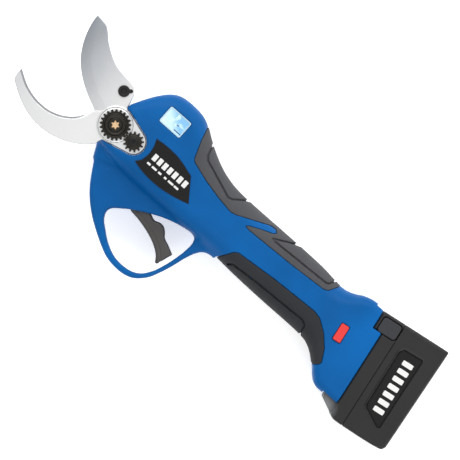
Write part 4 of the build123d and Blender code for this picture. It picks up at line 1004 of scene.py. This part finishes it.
# --- CAD nodes that keep their own shape --------------------------------------------------
def dress_cad_nodes():
    """Procedural finishes for every CAD node, by its material slot."""
    finishes = {
        "blue_housing": BLUE,
        "grip_rubber": BACK_RUBBER,
        "front_grip_rubber": FRONT_RUBBER,
        "label_black": LABEL,
        "blade_steel": BEVEL_STEEL,
        "hook_steel": HOOK_STEEL,
        "cover_steel": COVER_STEEL,
        "black_steel": BLACK_OXIDE,
        "frame_aluminium": steel("cast_aluminium", (0.56, 0.57, 0.58), 0.48, 0.0, 0.06, 0.2, 0.03),
        "gear_steel": steel("gear_steel_cut", (0.42, 0.43, 0.44), 0.30, 0.3, 0.12, 0.2),
        "bronze": steel("bush_bronze", (0.60, 0.38, 0.17), 0.32, 0.0, 0.10, 0.2),
        "screw_steel": SCREW_BLACK,
        "bearing_steel": steel("bearing_ring", (0.66, 0.67, 0.68), 0.18, 0.0, 0.05),
        "motor_steel": steel("motor_can_coat", (0.08, 0.08, 0.085), 0.45, 0.0, 0.12, 0.1, 0.02),
        "copper": steel("winding_copper", (0.75, 0.36, 0.18), 0.35, 1.2, 0.25),
        "magnet": steel("magnet_nickel", (0.30, 0.30, 0.31), 0.35, 0.0, 0.10),
        "circuit_board": plastic("solder_mask", (0.02, 0.16, 0.07), 0.35, 700.0, 0.02, 0.2),
        "lead_insulation": plastic("lead_silicone", (0.55, 0.05, 0.03), 0.45, 900.0, 0.01, 0.1),
        "display_glass": display_material(),
        "red_rocker": RED,
        "black_plastic": plastic("black_moulded", (0.024, 0.024, 0.025), 0.5, 1200.0, 0.02, 0.1,
                                 (0.08, 0.08, 0.08)),
        "battery_plastic": BATTERY_BLACK,
        "latch_plastic": LATCH_GREY,
        "cell_wrap": plastic("cell_sleeve", (0.05, 0.28, 0.22), 0.28, 500.0, 0.004, 0.05),
        "nickel": steel("nickel_strip", (0.70, 0.67, 0.58), 0.25, 0.0, 0.08),
        "spring_steel": steel("spring_wire", (0.55, 0.56, 0.58), 0.28, 0.0, 0.10),
    }
    slots = {row["node"]: row["material_slot"] for row in frame["record"]["subparts"]}
    for name, node in frame["nodes"].items():
        material = finishes[slots[name]]
        if not node.material_slots:
            node.data.materials.append(material)
        for slot in node.material_slots:
            slot.material = material


# --- Stage, light and camera --------------------------------------------------------------
VIEW_CENTRE = (111.7, -1.8)
VIEW_WIDTH = 331.2          # of the picture, at the centre of the tool
VIEW_TURN = math.radians(41.6)
VIEW_DISTANCE = 3.0         # metres
SENSOR_WIDTH = 36.0


def make_stage():
    mesh = bpy.data.meshes.new("floor")
    half = 4.0
    corners = [(-half, -half, 0), (half, -half, 0), (half, half, 0), (-half, half, 0)]
    mesh.from_pydata(corners, [], [(0, 1, 2, 3)])
    floor = bpy.data.objects.new("floor", mesh)
    bpy.context.scene.collection.objects.link(floor)
    floor.location.z = -0.0005
    material, shader = new_material("floor_paper")
    cloud = noise(material, coordinates(material), 3.0, 2.0)
    tint = ramp(material, cloud, ((0.3, (0.93, 0.93, 0.93)), (0.7, (0.96, 0.96, 0.96))))
    material.node_tree.links.new(tint, shader.inputs["Base Color"])
    material.node_tree.links.new(tint, shader.inputs["Emission Color"])
    shader.inputs["Emission Strength"].default_value = 0.5
    shader.inputs["Roughness"].default_value = 0.9
    mesh.materials.append(material)


def area_light(name, location, size, power):
    """Soft light aimed at the middle of the tool."""
    data = bpy.data.lights.new(name, "AREA")
    data.shape = "RECTANGLE"
    data.size, data.size_y = size
    data.energy = power
    light = bpy.data.objects.new(name, data)
    bpy.context.scene.collection.objects.link(light)
    light.location = location
    light.rotation_euler = (-Vector(location)).to_track_quat("-Z", "Y").to_euler()


def make_lights():
    world = bpy.data.worlds.new("studio")
    bpy.context.scene.world = world
    world.use_nodes = True
    tree = world.node_tree
    where = tree.nodes.new("ShaderNodeTexCoord")
    split = tree.nodes.new("ShaderNodeSeparateXYZ")
    tree.links.new(where.outputs["Generated"], split.inputs[0])
    fade = ramp(world, split.outputs[2], ((0.15, (0.45, 0.45, 0.45)), (0.85, (0.95, 0.95, 0.95))))
    tree.links.new(fade, tree.nodes["Background"].inputs[0])
    tree.nodes["Background"].inputs[1].default_value = 1.0
    area_light("key", (-0.95, 1.05, 1.2), (1.3, 1.3), 15.0)
    area_light("fill", (1.2, -0.8, 1.3), (1.4, 1.4), 7.0)
    area_light("strip", (0.4, 1.4, 0.8), (1.8, 0.5), 6.0)
    bpy.context.scene.view_settings.view_transform = "Standard"


def make_camera():
    data = bpy.data.cameras.new("camera")
    data.sensor_width = SENSOR_WIDTH
    data.lens = SENSOR_WIDTH * VIEW_DISTANCE / (VIEW_WIDTH * MM)
    data.clip_end = 20.0
    camera = bpy.data.objects.new("camera", data)
    bpy.context.scene.collection.objects.link(camera)
    spot = place(*VIEW_CENTRE, HALF * 0.6)
    camera.location = (spot.x, spot.y, spot.z + VIEW_DISTANCE)
    camera.rotation_euler = (0, 0, VIEW_TURN)
    bpy.context.scene.camera = camera


dress_cad_nodes()
make_housing()
make_moving_blade()
make_fixed_blade()
make_cover_plate()
make_nut()
make_lock_gear()
make_pivot_bolt()
make_drive_screw()
make_lock_gear_screw()
make_battery()
make_battery_label()
make_latches()
make_trigger()
make_rocker()
make_display()
make_side_label()
make_stage()
make_lights()
make_camera()
